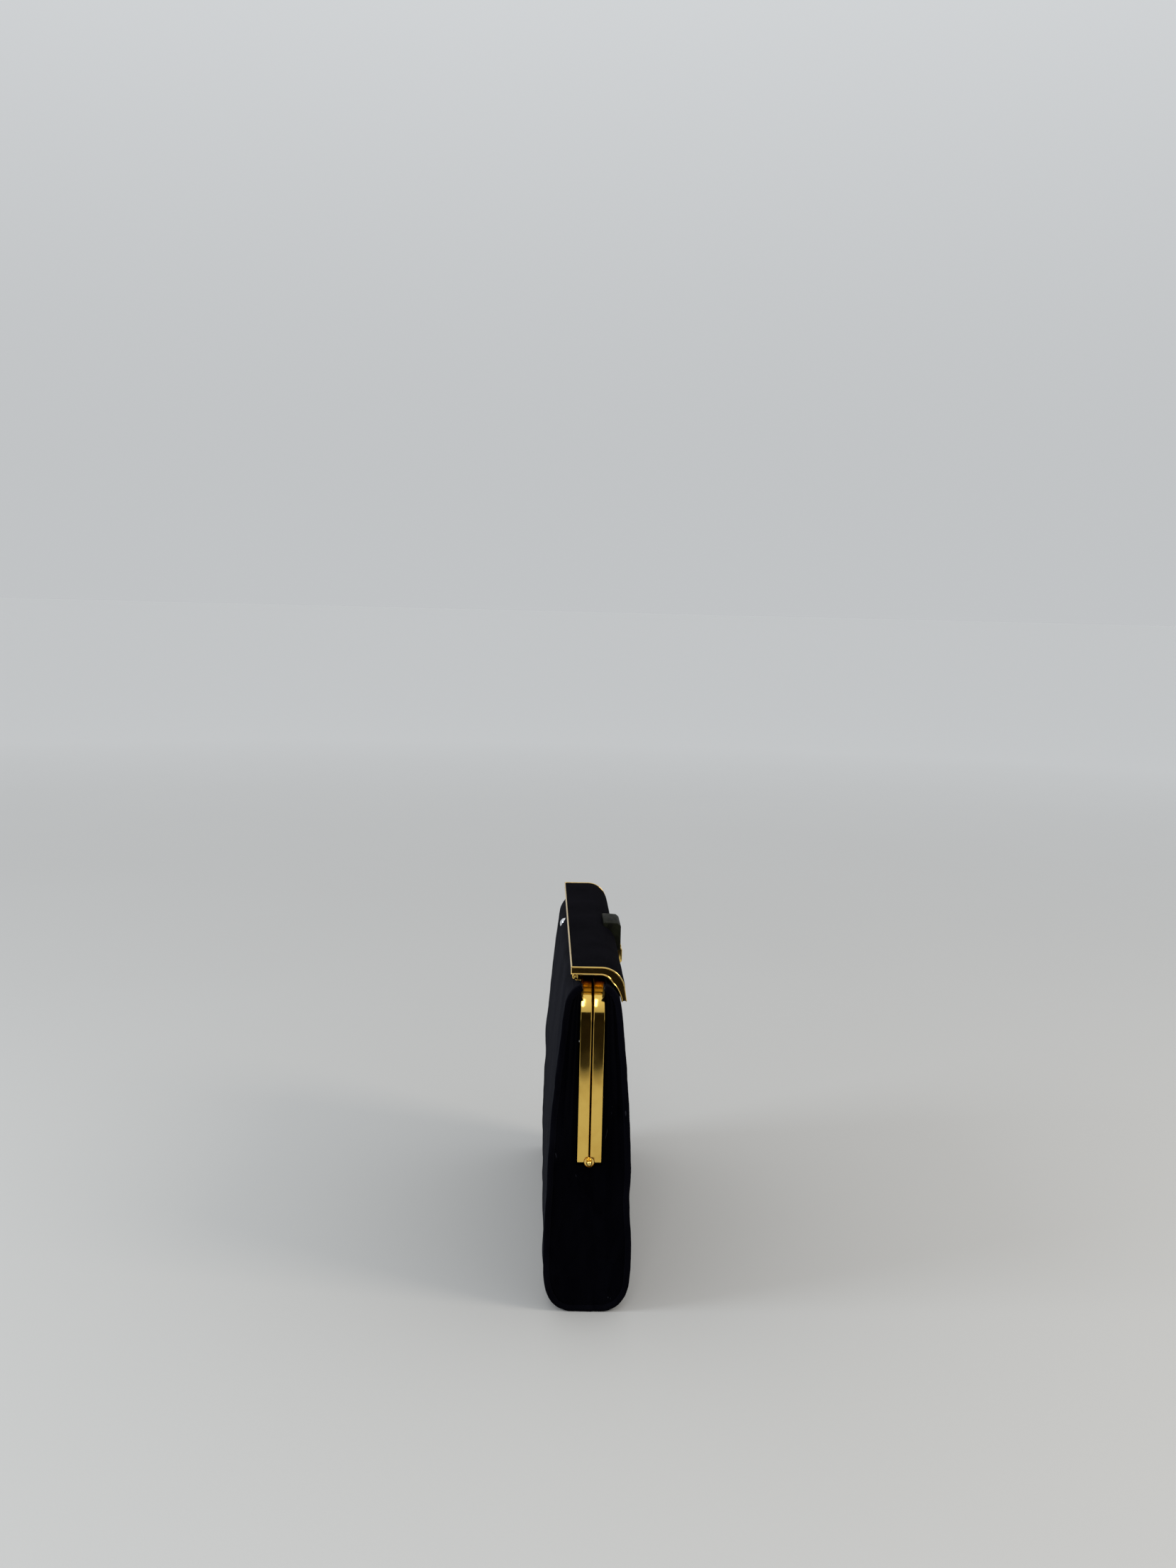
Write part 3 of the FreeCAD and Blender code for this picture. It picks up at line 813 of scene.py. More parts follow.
def gusset_depth(y, z):
    """How far the end cloth lies inwards of the seam, and its pleats, in millimetres."""
    seam = half_depth_at(z, 2.2) - slack(y, z)
    away = seam - abs(y)
    rim = 1 - math.exp(-max(0.0, away) / 1.8)
    from_bottom = 1 - math.exp(-max(0.0, z - 2.2) / 5.0)
    u = min(1.0, max(0.0, away / max(1.0, seam - LEG_OUTER)))
    upper = smoothstep(z, PIVOT_Z - 38, PIVOT_Z + 12)
    behind_foot = 1.6 * math.exp(-(y / 6.5) ** 2 - ((z - PIVOT_Z + 1.5) / 7) ** 2)
    base = (7.4 * u ** 1.25 * upper + 2.0 * min(1.0, away / 9.0) * (1 - upper)
            + behind_foot * (1 - smoothstep(u, 0.9, 1.4)))
    height = smoothstep(z, PIVOT_Z - 8, 124)
    pleats = 0.0
    for place, width, size in ((0.36, 0.10, 2.3), (0.70, 0.085, 1.5)):
        drift = place + 0.06 * bump_at(z, 210 * place, 5.0 if y < 0 else 60.0, scale=30)
        pleats += size * math.exp(-((u - drift) / width) ** 2)
    soft = 0.4 * bump_at(y * 1.6, z, 11.0, scale=12) + 0.6 * bump_at(y, z, 31.0, scale=34)
    return (base - pleats * height) * rim * from_bottom + soft * rim


def sheet_of(name, rows):
    """Closed sheet from rows of (outer, inner) pairs of points."""
    return shell(name, *([[pair[k] for pair in row] for row in rows] for k in (0, 1)))


def end_patch(name, side, z_low, z_high, y_from, y_to):
    """A patch of end cloth. y_from and y_to give y at a height."""
    rows = []
    count = max(2, round((z_high - z_low) / END_STEP))
    across = 46
    for i in range(count + 1):
        z = z_low + (z_high - z_low) * i / count
        row = []
        for j in range(across + 1):
            y = y_from(z) + (y_to(z) - y_from(z)) * j / across
            x = PIPING_END - 1.7 - gusset_depth(y, z)
            row.append(((side * x, y, z), (side * (x - END_THICKNESS), y, z)))
        rows.append(row)
    patch = sheet_of(name, rows)
    # the end cloth's outer side takes the darker velvet copy, which is painted shade
    for material in (VELVET_END_SHADED, LINING):
        patch.data.materials.append(material)
    return patch


def build_gussets():
    """End cloth: the lower part and front wing in one, and the rear wing beside it."""
    edge_inset = 1.5
    middle = PIVOT_Z - 3
    top = NECK_Z - 0.6

    def seam(sign):
        return lambda z: sign * max(half_depth_at(z, edge_inset) - slack(sign, z), LEG_OUTER + 0.4)

    def leg(sign):
        return lambda z: sign * (LEG_OUTER + 0.15)

    for side, name in ((-1, "left"), (1, "right")):
        lower = end_patch(name + "_end_low", side, edge_inset, middle, seam(-1), seam(1))
        wing = end_patch(name + "_end_wing", side, middle, top, seam(-1), leg(-1))
        rear = end_patch(name + "_end_rear_wing", side, middle, top, leg(1), seam(1))
        cloth = join(name + "_end_cloth", [lower, wing])
        merge_and_face_out(cloth, 1e-5)
        cloth.data.shade_smooth()
        dress(cloth, None, None, (name + "_gusset", "front_" + name + "_gusset"))
        bend_end_cloth(cloth)
        dress(rear, "rear_half")


# ---- the frame ----

def frame_path():
    """Centre line of the frame's outer face in XZ: (x, z, outward x, outward z)."""
    points = []
    w = LEG_X
    r = CORNER_RADIUS
    foot = PIVOT_Z + FOOT_LIFT
    leg_steps = 24
    for i in range(leg_steps):
        z = foot + (FRAME_TOP - r - foot) * i / leg_steps
        points.append((-w, z, -1, 0))
    turn_steps = 28
    for i in range(turn_steps + 1):
        a = math.pi - math.pi / 2 * i / turn_steps
        points.append((-w + r + r * math.cos(a), FRAME_TOP - r + r * math.sin(a), math.cos(a), math.sin(a)))
    top_steps = 30
    for i in range(1, top_steps):
        points.append((-w + r + (2 * (w - r)) * i / top_steps, FRAME_TOP, 0, 1))
    return points + [(-x, z, -ox, oz) for x, z, ox, oz in reversed(points[:leg_steps + turn_steps + 1])]


def channel_profile(y0, y1):
    """(y, depth) of the channel's section, its corners rounded."""
    r = 0.55
    s = FRAME_SHEET
    d = CHANNEL_DEPTH
    outer = []
    for cy, start in ((y0 + r, math.pi), (y1 - r, math.pi / 2)):
        for k in range(6):
            a = start - math.pi / 2 * k / 5
            outer.append((cy + r * math.cos(a), r - r * math.sin(a)))
    lip = 0.2
    return ([(y0, d - lip), *outer, (y1, d - lip), (y1 - lip, d), (y1 - s + lip, d), (y1 - s, d - lip),
             (y1 - s, s), (y0 + s, s), (y0 + s, d - lip), (y0 + s - lip, d), (y0 + lip, d)])


def cut_with(obj, cutters):
    """Take the cutters' volume out of obj."""
    for cutter in cutters:
        modifier = obj.modifiers.new("cut", "BOOLEAN")
        modifier.operation = "DIFFERENCE"
        modifier.solver = "EXACT"
        modifier.object = cutter
    baked(obj)
    for cutter in cutters:
        bpy.data.objects.remove(cutter)
    return obj


def turned(name, profile, y, z, sides=40, smooth=True):
    """Turned piece about an X axis: profile is (x, radius) from one end to the other."""
    return solid(name, [[(x, y + r * math.cos(a), z + r * math.sin(a)) for a in round_angles(sides)]
                        for x, r in profile], smooth, 1e-7)


def rectangle(y0, y1, z0, z1):
    return [(y0, z0), (y1, z0), (y1, z1), (y0, z1)]


def extruded(name, outline_yz, x0, x1):
    """Plate with an outline in YZ, between two places along X."""
    return solid(name, [[(x, y, z) for y, z in outline_yz] for x in (x0, x1)], smooth=False)


def build_frame_half(name, sign, body, node):
    """One half's channel, its flanges cut back at the feet, with the lugs that the rivets pass through."""
    y0, y1 = sorted((sign * LEG_INNER, sign * LEG_OUTER))
    bar = solid(name, [[(x - ox * depth, y, z - oz * depth) for y, depth in channel_profile(y0, y1)]
                       for x, z, ox, oz in frame_path()])
    web_in = LEG_X - FRAME_SHEET
    foot = PIVOT_Z + FOOT_LIFT
    flange_end = PIVOT_Z + FLANGE_RISE
    strip_top = flange_end - FOOT_LIFT
    below = PIVOT_Z - 9
    trim = extruded(name + "_trim", rectangle(y0 - 1, y1 + 1, below, flange_end), -web_in, web_in)
    notch = extruded(name + "_notch", rectangle(-NOTCH_HALF, NOTCH_HALF, below, PIVOT_Z + NOTCH_RISE),
                     -LEG_X - 9, LEG_X + 9)
    cut_with(bar, [trim, notch])
    lugs = []
    outer_x = web_in - (0.0 if sign > 0 else FRAME_SHEET + 0.1)
    inner_x = outer_x - FRAME_SHEET
    for side in (-1, 1):
        xs = sorted((side * inner_x, side * outer_x))
        lugs.append(turned("lug", [(x, LUG_RADIUS) for x in xs], PIVOT_Y, PIVOT_Z, smooth=False))
        lugs.append(extruded("strip", rectangle(y0, y1, foot, strip_top), *xs))
        if sign < 0:
            spacer_xs = sorted((side * inner_x, side * web_in))
            lugs.append(extruded("spacer", rectangle(y0, y1, foot + 3.2, strip_top), *spacer_xs))
    half = join(name, [bar] + lugs)
    smooth_by_angle(half, 35)
    dress(half, body, GOLD, (node,))


def smooth_by_angle(obj, degrees):
    """Smooth shading with edges sharper than this kept crisp."""
    obj.data.shade_smooth()
    bm = bmesh.new()
    bm.from_mesh(obj.data)
    limit = math.radians(degrees)
    for edge in bm.edges:
        if len(edge.link_faces) == 2 and edge.calc_face_angle(0.0) > limit:
            edge.smooth = False
    bm.to_mesh(obj.data)
    bm.free()


def build_rivets():
    """Ball-headed hinge rivets with their washers, one pair at each foot."""
    web_in = LEG_X - FRAME_SHEET
    face = web_in + 0.5
    ball = [(face - 3.2, SHANK_RADIUS), (face, SHANK_RADIUS)]
    for k in range(13):
        a = math.radians(-44 + (134 * k / 12))
        ball.append((face + 1.3 + BALL_RADIUS * 1.1 * math.sin(a), BALL_RADIUS * math.cos(a)))
    washer = [(web_in, 1.05), (web_in, 2.5), (web_in + 0.12, WASHER_RADIUS), (face + 0.1, WASHER_RADIUS),
              (face + 0.22, 2.56), (face + 0.1, 2.42), (web_in + 0.08, 2.34), (web_in + 0.08, 1.05)]
    for name, profile, node in (("hinge_rivet_balls", ball, "hinge_rivets"),
                                ("hinge_washers", washer, "rivet_washers")):
        pair = join(name, [turned(node, [(side * x, max(r, 0.0)) for x, r in profile], PIVOT_Y, PIVOT_Z)
                           for side in (-1, 1)])
        smooth_by_angle(pair, 40)
        dress(pair, "rear_half", GOLD_SMALL, (node,))


# ---- the flap ----

BEND_CENTRE = (FLAP_BEND_Y, FLAP_TOP - FLAP_BEND_RADIUS)
FLAT_LENGTH = FLAP_REAR - FLAP_BEND_Y
BEND_TURN = math.pi / 2 - LIP_FLARE
BEND_LENGTH = BEND_TURN * FLAP_BEND_RADIUS
LIP_START = (BEND_CENTRE[0] - FLAP_BEND_RADIUS * math.cos(LIP_FLARE),
             BEND_CENTRE[1] + FLAP_BEND_RADIUS * math.sin(LIP_FLARE))
LIP_LENGTH = (LIP_START[1] - LIP_BOTTOM - RIM_THICKNESS * math.sin(LIP_FLARE)) / math.cos(LIP_FLARE)
FLAP_LENGTH = FLAT_LENGTH + BEND_LENGTH + LIP_LENGTH


def flap_at(s):
    """(y, z, normal y, normal z) on the flap's outer face, s from its back edge towards the lip."""
    if s <= FLAT_LENGTH:
        return FLAP_REAR - s, FLAP_TOP, 0.0, 1.0
    if s <= FLAT_LENGTH + BEND_LENGTH:
        a = math.pi / 2 + (s - FLAT_LENGTH) / FLAP_BEND_RADIUS
        ny, nz = math.cos(a), math.sin(a)
        return BEND_CENTRE[0] + FLAP_BEND_RADIUS * ny, BEND_CENTRE[1] + FLAP_BEND_RADIUS * nz, ny, nz
    d = s - FLAT_LENGTH - BEND_LENGTH
    return (LIP_START[0] - d * math.sin(LIP_FLARE), LIP_START[1] - d * math.cos(LIP_FLARE),
            -math.cos(LIP_FLARE), math.sin(LIP_FLARE))


def edge_fine(length, step):
    """Places along a length, closer together near both ends."""
    fine = [0.0, 0.12, 0.3, 0.6, 1.1, 2.0, 3.2]
    inner = length - 2 * fine[-1]
    count = max(2, round(inner / step))
    middle = [fine[-1] + inner * i / count for i in range(1, count)]
    return fine + middle + [length - f for f in reversed(fine)]


def arc_points(centre, radius, start, end, count):
    """Points on an arc, angles in degrees."""
    points = []
    for i in range(count + 1):
        a = math.radians(start + (end - start) * i / count)
        points.append((centre[0] + radius * math.cos(a), centre[1] + radius * math.sin(a)))
    return points


def rim_profile(extra):
    """(outward, depth) round the rim's section: two fine beads, a sunk band between, a lap on the underside."""
    t = RIM_THICKNESS + extra
    bead = 0.34
    top = (-bead, bead - 0.04)
    low = (-bead, t - bead + 0.04)
    points = arc_points(top, bead, 180, 420, 12)
    points += [(-bead, depth) for depth in (0.70, 0.80, t / 2, t - 0.80, t - 0.70)]
    points += arc_points(low, bead, 300, 450, 8)
    return points + [(-0.8, t), (-2.7, t), (-2.95, t - 0.08), (-3.0, t - 0.3), (-1.0, t - 0.36), (-1.0, 0.9),
                     (-1.4, 0.85), (-1.4, 0.5), (-0.78, 0.48)]


def flap_stations():
    """Round the flap's edge: place, outward, normal and the rim's extra depth at each station."""
    lip = Vector((0, -math.sin(LIP_FLARE), -math.cos(LIP_FLARE)))
    rear = Vector((0, 1, 0))
    sides = [FLAP_LENGTH * i / 64 for i in range(65)]
    across = spread_out(FLAP_END, 70)[1:-1]
    stations = []

    def add(x, s, outward):
        y, z, ny, nz = flap_at(s)
        at_bend = 1.2 * math.exp(-((s - FLAT_LENGTH - 0.75 * BEND_LENGTH) / 7.0) ** 2)
        taper = 1 - smoothstep(s, FLAT_LENGTH + 0.6 * BEND_LENGTH, FLAP_LENGTH - 2)
        extra = (RIM_EXTRA * taper + at_bend) * smoothstep(abs(x), FLAP_END - 5, FLAP_END - 1)
        stations.append((Vector((x, y, z)), outward, Vector((0, ny, nz)), extra))

    for side, run in ((-1, sides), (1, sides[::-1])):
        for s in run:
            outward = Vector((side, 0, 0))
            if s == sides[0]:
                outward += rear
            if s == sides[-1]:
                outward += lip
            add(side * FLAP_END, s, outward)
        places, s, outward = (across, FLAP_LENGTH, lip) if side < 0 else (across[::-1], 0.0, rear)
        for x in places:
            add(x, s, outward)
    return stations


def build_rim():
    rows = [[tuple(at + outward * o - normal * d) for o, d in rim_profile(extra)]
            for at, outward, normal, extra in flap_stations()]
    rim = merge_and_face_out(make_mesh("flap_rim_channel", *loft(rows, close_rows=True, close_columns=True)))
    smooth_by_angle(rim, 46)
    dress(rim, "flap", GOLD_RIM, ("flap_rim",))


def flap_layer(name, outer_depth, inner_depth, inset, roll, crown, step):
    """One layer of the flap. Its outer face rolls down by roll at the edges and rises by crown inside them."""
    half = FLAP_END - inset
    length = FLAP_LENGTH - 2 * inset
    rows = []
    for along_x in edge_fine(2 * half, 2.4):
        x = along_x - half
        row = []
        for s in edge_fine(length, step):
            y, z, ny, nz = flap_at(s + inset)
            edge = min(half - abs(x), s, length - s)
            rolled = roll * (1 - math.sqrt(1 - (1 - min(1.0, edge / 0.7)) ** 2))
            lift = crown * smoothstep(edge, 0.5, 7)
            if crown:
                lift += 0.14 * bump_at(x, y, z, scale=16) * smoothstep(edge, 1, 6)
            depths = (outer_depth + rolled - lift, inner_depth)
            row.append([(x, y - ny * depth, z - nz * depth) for depth in depths])
        rows.append(row)
    return sheet_of(name, rows)


def build_flap_layers():
    pad = flap_layer("flap_pad", 0.05, 1.0, 0.72, 0.6, 0.32, 1.5)
    dress(pad, "flap", FLAP_CLOTH, ("flap_cover",))
    plate = flap_layer("flap_inner_plate", 1.85, RIM_THICKNESS - 0.12, 2.9, 0.0, 0.0, 1.8)
    smooth_by_angle(plate, 40)
    dress(plate, "flap", GOLD_INNER, ("flap_lining",))


# ---- hinge, clasp and stud ----

def bevelled(obj, width, segments=3, angle=35):
    modifier = obj.modifiers.new("bevel", "BEVEL")
    modifier.width = width * MM
    modifier.segments = segments
    modifier.limit_method = "ANGLE"
    modifier.angle_limit = math.radians(angle)
    baked(obj)
    smooth_by_angle(obj, 40)
    return obj


def repeat_group(name, material):
    """Geometry Nodes: copies of a small piece at even steps along the edges of a path mesh."""
    group = bpy.data.node_groups.new(name, "GeometryNodeTree")
    face = group.interface
    for label, kind in (("Geometry", "Geometry"), ("Pitch", "Float"), ("Wobble", "Float"), ("Seed", "Int"),
                        ("Piece", "Object")):
        face.new_socket(label, in_out="INPUT", socket_type="NodeSocket" + kind)
    face.new_socket("Geometry", in_out="OUTPUT", socket_type="NodeSocketGeometry")
    start = new_node(group, "NodeGroupInput")
    end = new_node(group, "NodeGroupOutput")
    to_curve = new_node(group, "GeometryNodeMeshToCurve")
    resample = new_node(group, "GeometryNodeResampleCurve", mode="LENGTH")
    tangent = new_node(group, "GeometryNodeInputTangent")
    align = new_node(group, "FunctionNodeAlignEulerToVector", axis="X")
    wobble = new_node(group, "FunctionNodeRandomValue", data_type="FLOAT_VECTOR")
    scale = new_node(group, "ShaderNodeVectorMath", operation="SCALE")
    turn = new_node(group, "FunctionNodeRotateEuler", space="LOCAL")
    info = new_node(group, "GeometryNodeObjectInfo")
    copies = new_node(group, "GeometryNodeInstanceOnPoints")
    realize = new_node(group, "GeometryNodeRealizeInstances")
    paint = new_node(group, "GeometryNodeSetMaterial")
    set_sockets(paint, Material=material)
    wobble.inputs[0].default_value = (-1, -1, -1)
    wobble.inputs[1].default_value = (1, 1, 1)
    for source, out, target, into in (
            (start, "Geometry", to_curve, "Mesh"), (to_curve, "Curve", resample, "Curve"),
            (start, "Pitch", resample, "Length"), (tangent, "Tangent", align, "Vector"),
            (start, "Seed", wobble, "Seed"), (wobble, "Value", scale, 0), (start, "Wobble", scale, "Scale"),
            (align, "Rotation", turn, "Rotation"), (scale, "Vector", turn, "Rotate By"),
            (start, "Piece", info, "Object"), (resample, "Curve", copies, "Points"),
            (info, "Geometry", copies, "Instance"), (turn, "Rotation", copies, "Rotation"),
            (copies, "Instances", realize, "Geometry"), (realize, "Geometry", paint, "Geometry"),
            (paint, "Geometry", end, "Geometry")):
        group.links.new(source.outputs[out], target.inputs[into])
    return group


def repeated(name, path, piece, pitch, wobble, group):
    """One mesh of the piece repeated along a path of points."""
    mesh = bpy.data.meshes.new(name)
    mesh.from_pydata([tuple(c * MM for c in p) for p in path], [(i, i + 1) for i in range(len(path) - 1)], [])
    obj = link(bpy.data.objects.new(name, mesh))
    modifier = obj.modifiers.new("repeat", "NODES")
    modifier.node_group = group
    values = {"Pitch": pitch * MM, "Wobble": wobble, "Seed": 7, "Piece": piece}
    for item in group.interface.items_tree:
        if item.item_type == "SOCKET" and item.in_out == "INPUT" and item.name in values:
            modifier[item.identifier] = values[item.name]
    baked(obj)
    bpy.data.objects.remove(piece)
    obj.data.shade_smooth()
    return obj


def rod(name, half, steps, y, z, sides=24):
    """Turned rod: steps are (distance in from each end, radius)."""
    rod_half = [(-half + inward, r) for inward, r in steps]
    rod_piece = turned(name, rod_half + [(-x, r) for x, r in reversed(rod_half)], y, z, sides)
    smooth_by_angle(rod_piece, 50)
    return rod_piece


def build_hinge():
    """Hinge along the back edge: barrels by turns on the body's leaf and on the flap's leaf."""
    half = corners("flap_hinge_pin")[1].x
    pitch = 2 * half / BARRELS
    centres = [-half + (i + 0.5) * pitch for i in range(BARRELS)]

    def barrels(name, first, last, material):
        ends = ((0, 0.72), (0, BARREL_RADIUS - 0.14), (0.14, BARREL_RADIUS))
        piece = rod(name, (pitch - 0.3) / 2, ends, 0, 0, 28)
        path = [(centres[i], HINGE_Y, HINGE_Z) for i in (first, last)]
        return repeated(name + "s", path, piece, 2 * pitch, 0.0, repeat_group(name + "_run", material))

    def plate(name, outline_yz, x0, x1, bevel=0.1):
        return bevelled(extruded(name, outline_yz, x0, x1), bevel, 2)

    def straps(name, outline_yz, first):
        return [plate(name, outline_yz, centres[i] - pitch / 2 + 0.2, centres[i] + pitch / 2 - 0.2)
                for i in range(first, BARRELS, 2)]

    rear_barrels = barrels("rear_hinge_barrel", 0, -1, GOLD)
    flap_barrels = barrels("flap_hinge_barrel", 1, -2, GOLD_RIM)
    straight = LEG_X - CORNER_RADIUS
    top = FRAME_TOP + 0.4
    curl = [(HINGE_Y - 0.9, FRAME_TOP), (HINGE_Y - 0.2, FRAME_TOP + 0.06), (HINGE_Y, HINGE_Z - 0.9),
            (HINGE_Y - 1.3, HINGE_Z - 0.1), (HINGE_Y - 1.28, FRAME_TOP + 0.1)]
    parts = [plate("leaf_a", rectangle(LEG_OUTER, HINGE_Y - 0.6, FRAME_TOP, top), -half, half),
             plate("leaf_b", rectangle(2.0, LEG_OUTER + 0.05, FRAME_TOP, top), -straight, straight)]
    rear = join("rear_hinge_leaf_plate", parts + straps("curl", curl, 0) + [rear_barrels])
    dress(rear, "rear_half", GOLD, ("rear_hinge_leaf",))

    under = FLAP_TOP - RIM_THICKNESS
    face = HINGE_Y + BARREL_RADIUS
    drop = rectangle(face - 0.6, face, HINGE_Z + BARREL_RADIUS + 0.1, under + 0.1)
    strap = rectangle(face - 0.6, face - 0.02, HINGE_Z, under)
    parts = [plate("drop", drop, -half, half, 0.14)]
    flap = join("flap_hinge_leaf_plate", parts + straps("strap", strap, 1) + [flap_barrels])
    dress(flap, "flap", GOLD_RIM, ("flap_hinge_leaf",))

    pin = rod("hinge_pin_rod", half + 0.35, ((0, 0.3), (0.15, 0.62), (0.5, 0.7)), HINGE_Y, HINGE_Z)
    dress(pin, "rear_half", GOLD_SMALL, ("flap_hinge_pin",))


def build_clasp():
    """Resin block over the flap's bend with the gold lever hung in its slot."""
    low, high = corners("clasp_block")
    front = low.y
    top = high.z
    under = LEVER_Z - 1.4
    profile = [(high.y, top), (front + 1.7, top - 0.4), (front, top - 2.0), (front, LEVER_Z - 0.2),
               (front + 1.0, under), (front + 4.0, under), (LIP_START[0] + 1.2, LIP_START[1]),
               (BEND_CENTRE[0] - 7.6, BEND_CENTRE[1] + 7.6), (high.y, FLAP_TOP - 1.2)]
    clasp = extruded("clasp_block_body", profile, -high.x, high.x)
    reach = 1.65
    slot = rectangle(front - 2, LEVER_Y + reach, under - 6, LEVER_Z + reach)
    cut_with(clasp, [extruded("slot", slot, -SLOT_HALF, SLOT_HALF)])
    bevelled(clasp, 0.75, 4, 25)
    dress(clasp, "flap", BLOCK, ("clasp_block",))

    half_plate = 1.15
    front_face = LEVER_Y - 1.95
    back_face = LEVER_Y + half_plate
    tip = corners("clasp_lever")[0].z
    eye = arc_points((LEVER_Y, LEVER_Z), 1.35, -32, 212, 14)
    edge = [(LEVER_Y - half_plate, LEVER_Z - 0.9), (front_face, LEVER_Z - 2.2), (front_face, tip + 2.4)]
    bottom = [(front_face, tip + 1.3), (front_face + 0.35, tip + 0.5), (front_face + 1.0, tip + 0.1)]
    bottom += arc_points((LEVER_Y, tip + half_plate), half_plate, 180, 360, 8)[3:]
    back = [(back_face, tip + 2.4), (back_face - 0.25, LEVER_Z - 4.5), (back_face, LEVER_Z - 2.0)]
    lever = extruded("clasp_lever_plate", eye + edge + bottom + back, -LEVER_HALF, LEVER_HALF)
    cut_with(lever, [turned("bore", [(-9, 0.66), (9, 0.66)], LEVER_Y, LEVER_Z, 24, smooth=False)])
    bevelled(lever, 0.28, 3, 50)
    dress(lever, "lever", GOLD_SMALL, ("clasp_lever",))
    pin = rod("lever_pin_rod", corners("lever_pin")[1].x, ((0, 0.2), (0.2, 0.6)), LEVER_Y, LEVER_Z)
    dress(pin, "flap", GOLD_SMALL, ("lever_pin",))


def wall_frame(z, side):
    """Turn that lays a piece made at the origin, its face to -Y, onto the pouch's front (-1) or back (1)."""
    if z <= SHOULDER_Z:
        lean = math.asin((z - BELLY_Z) / SIDE_RADIUS)
        y = HALF_DEPTH - SIDE_RADIUS * (1 - math.cos(lean))
    else:
        lean = math.asin((z - NECK_CENTRE[1]) / NECK_RADIUS)
        y = NECK_CENTRE[0] + NECK_RADIUS * math.cos(lean)
    turn = Matrix.Rotation(-lean, 4, "X")
    place = Matrix.Translation(Vector((0, -y, z)) * MM) @ turn
    return Matrix.Scale(-1, 4, (0, 1, 0)) @ place if side > 0 else place


def lay_on_wall(obj, z, side):
    obj.data.transform(wall_frame(z, side))
    return merge_and_face_out(obj, 1e-8)


def domed(name, profile, x, sides):
    """Turned piece about a line along Y at x: profile is (y, radius)."""
    return solid(name, [[(x + max(r, 0.02) * math.cos(a), y, max(r, 0.02) * math.sin(a))
                         for a in round_angles(sides)] for y, r in profile], merge=1e-7)


def build_keeper():
    """Plate on the front cover that the lever rests against, with two domed rivets."""
    low, high = corners("keeper_plate")
    z = (low.z + high.z) / 2
    w = high.x
    h = 4.5
    r = 1.2
    corner = []
    for cx, cz, start in ((w - r, h - r, 0), (r - w, h - r, 90), (r - w, r - h, 180), (w - r, r - h, 270)):
        corner += arc_points((cx, cz), r, start, start + 90, 6)
    plate = solid("keeper_plate_body", [[(x, y, z0) for x, z0 in corner] for y in (-0.75, 0.15)], smooth=False)
    bevelled(plate, 0.2, 3, 50)
    lay_on_wall(plate, z, -1)
    dress(plate, "front_half", GOLD, ("keeper_plate",))
    head = [(0.1, 0.9), (-0.74, 0.9), (-0.86, 1.25), (-1.0, 1.22), (-1.18, 0.95), (-1.28, 0.5), (-1.31, 0.0)]
    rivets = join("keeper_rivet_heads", [domed("head", head, x, 28) for x in (2.6 - w, w - 2.6)])
    smooth_by_angle(rivets, 50)
    lay_on_wall(rivets, z, -1)
    dress(rivets, "front_half", GOLD_SMALL, ("keeper_rivets",))


def build_stud():
    """Polished dome on the back cover, on a thin base ring."""
    low, high = corners("rear_stud")
    x = (low.x + high.x) / 2
    z = (low.z + high.z) / 2
    radius = (high.x - low.x) / 2
    dome = 1.9
    ball = (radius ** 2 + dome ** 2) / (2 * dome)
    profile = [(2.2, 1.15), (0.05, 1.15), (0.05, radius - 0.1), (-0.12, radius), (-0.3, radius - 0.06)]
    reach = math.asin((radius - 0.25) / ball)
    for i in range(12):
        a = reach * (1 - i / 11)
        profile.append((ball - dome - ball * math.cos(a), ball * math.sin(a)))
    stud = domed("rear_stud_dome", profile, x, 48)
    smooth_by_angle(stud, 50)
    lay_on_wall(stud, z, 1)
    dress(stud, "rear_half", NICKEL, ("rear_stud",))


# ---- pocket and stitches ----

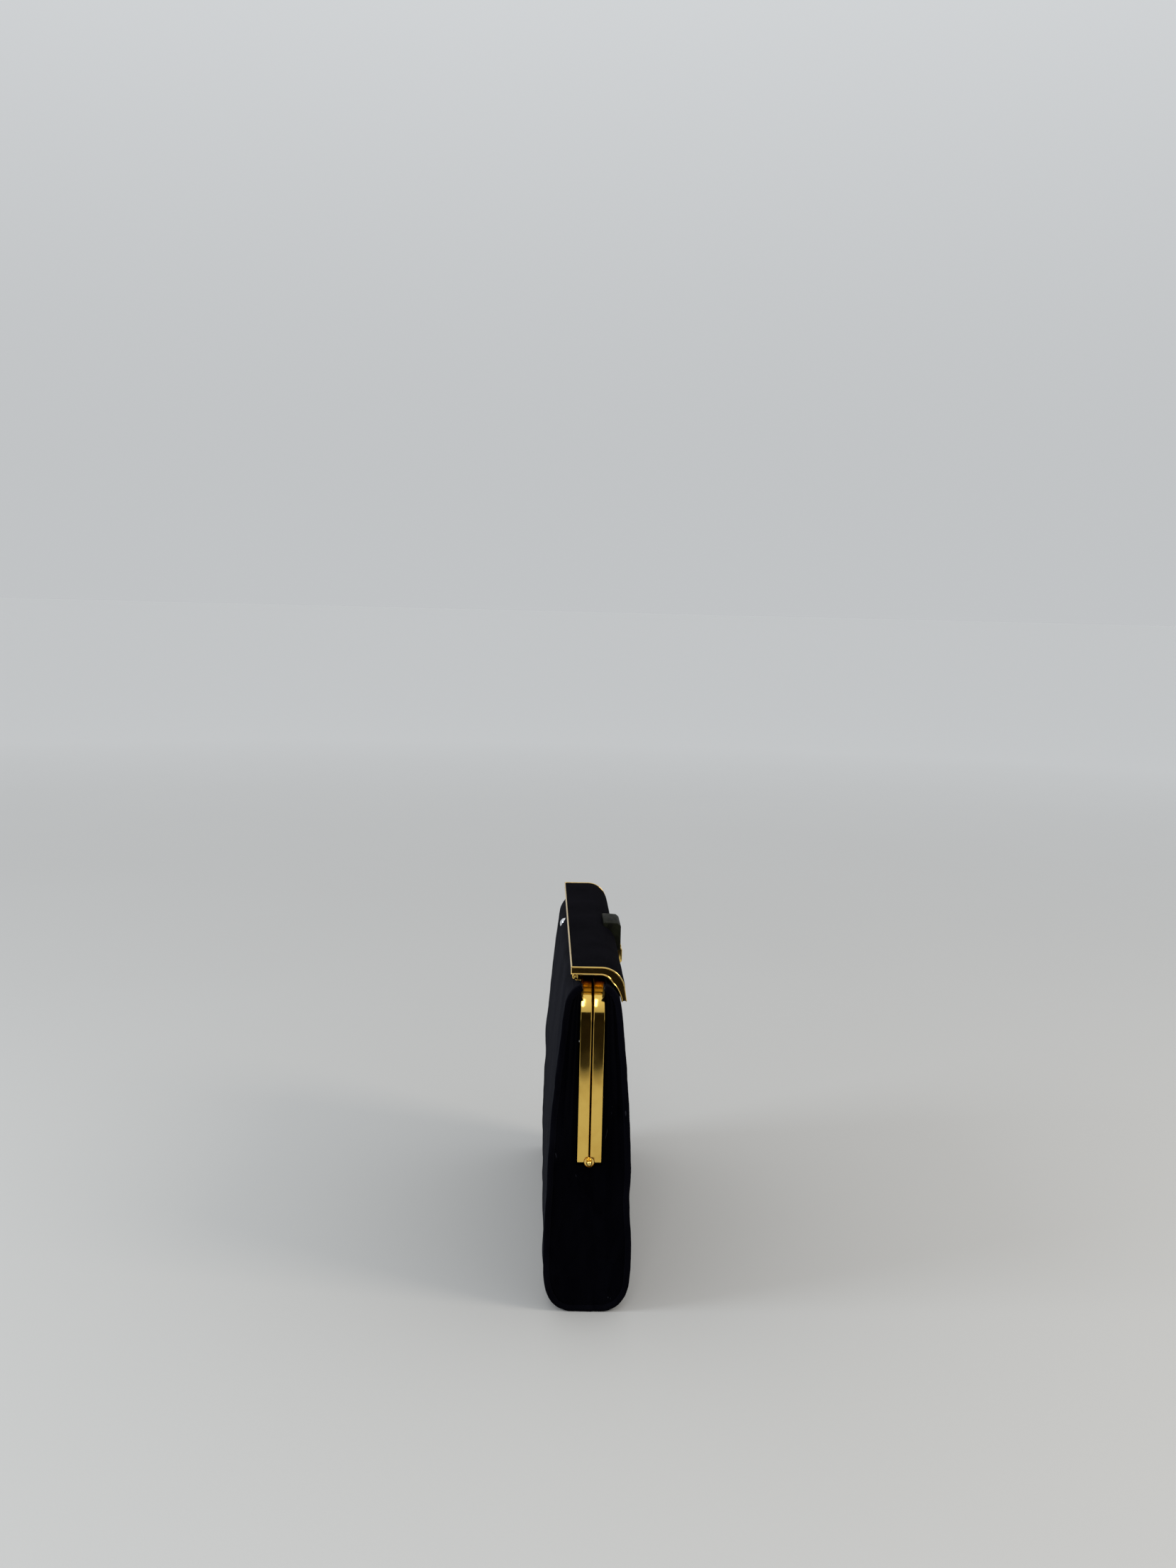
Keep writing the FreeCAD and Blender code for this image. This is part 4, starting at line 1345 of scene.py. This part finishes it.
def build_pocket():
    """Slip pocket on the back's lining, its mouth a little slack under a rolled hem."""
    low, high = corners("slip_pocket")
    section = [p for p in side_outline(2.5) if low.z <= p[1] <= high.z][::-1]
    half = high.x
    rows = []
    for x in spread_out(half, 48):
        row = []
        for j, (y, z, ny, nz) in enumerate(section):
            v = j / (len(section) - 1)
            hang = 1.6 * v ** 2 * smoothstep(half - abs(x), 0, 22) + 0.25 * bump_at(x, z, 3.0, scale=15)
            near = LINING_INSET + LINING_THICKNESS + 0.25 + hang
            row.append([(x, y - ny * depth, z - nz * depth) for depth in (near, near + 0.45)])
        rows.append(row)
    pocket = sheet_of("pocket_cloth", rows)
    hem = [Vector(row[-1][0]).lerp(Vector(row[-1][1]), 0.5) for row in rows]
    roll = tube("pocket_hem", hem, lambda i: 0.6, 10)
    whole = join("slip_pocket_cloth", [pocket, roll])
    whole.data.shade_smooth()
    dress(whole, "rear_half", LINING, ("slip_pocket",))


def stitch_piece():
    """One stitch: a short thread that dips at both ends."""
    path = [((t - 0.5) * STITCH_LENGTH, 0.0, STITCH_RADIUS * (1.2 * math.sin(math.pi * t) - 0.4))
            for t in (0.0, 0.25, 0.5, 0.75, 1.0)]
    return tube("stitch", path, lambda i: STITCH_RADIUS, 6)


def build_stitches():
    """Thread along both necks of the wrap."""
    group = repeat_group("stitch_run", THREAD)
    section = outline(1.0)
    places = [-COVER_END + 3 + 4 * i for i in range(int(2 * COVER_END / 4) - 1)]
    for sign, side in ((1, "rear"), (-1, "front")):
        row = [p for p in section if p[0] * sign > 0 and NECK_Z - 2.8 < p[1] < NECK_Z - 2.0]
        y, z, ny, nz = row[len(row) // 2]
        path = [(x, y + ny * 0.12, z + nz * 0.12) for x in places]
        run = repeated(side + "_neck_stitches", path, stitch_piece(), STITCH_PITCH, 0.06, group)
        dress(run, side + "_half")


# ---- finish of the CAD nodes that stay ----

def dress_cad_nodes():
    for node in ("rear_board", "bottom_board", "flap_shell"):
        mesh = frame["nodes"][node].data
        mesh.materials.clear()
        mesh.materials.append(BOARD)


set_camera()
set_studio()
cloth_swell = simulated_swell()
build_wrap(cloth_swell)
build_stiffener(cloth_swell)
build_rolls()
build_gussets()
build_lining()
build_frame_half("rear_frame_half", 1, "rear_half", "rear_frame")
build_frame_half("front_frame_half", -1, "front_half", "front_frame")
build_rivets()
build_rim()
build_flap_layers()
build_hinge()
build_clasp()
build_keeper()
build_stud()
build_pocket()
build_stitches()
dress_cad_nodes()
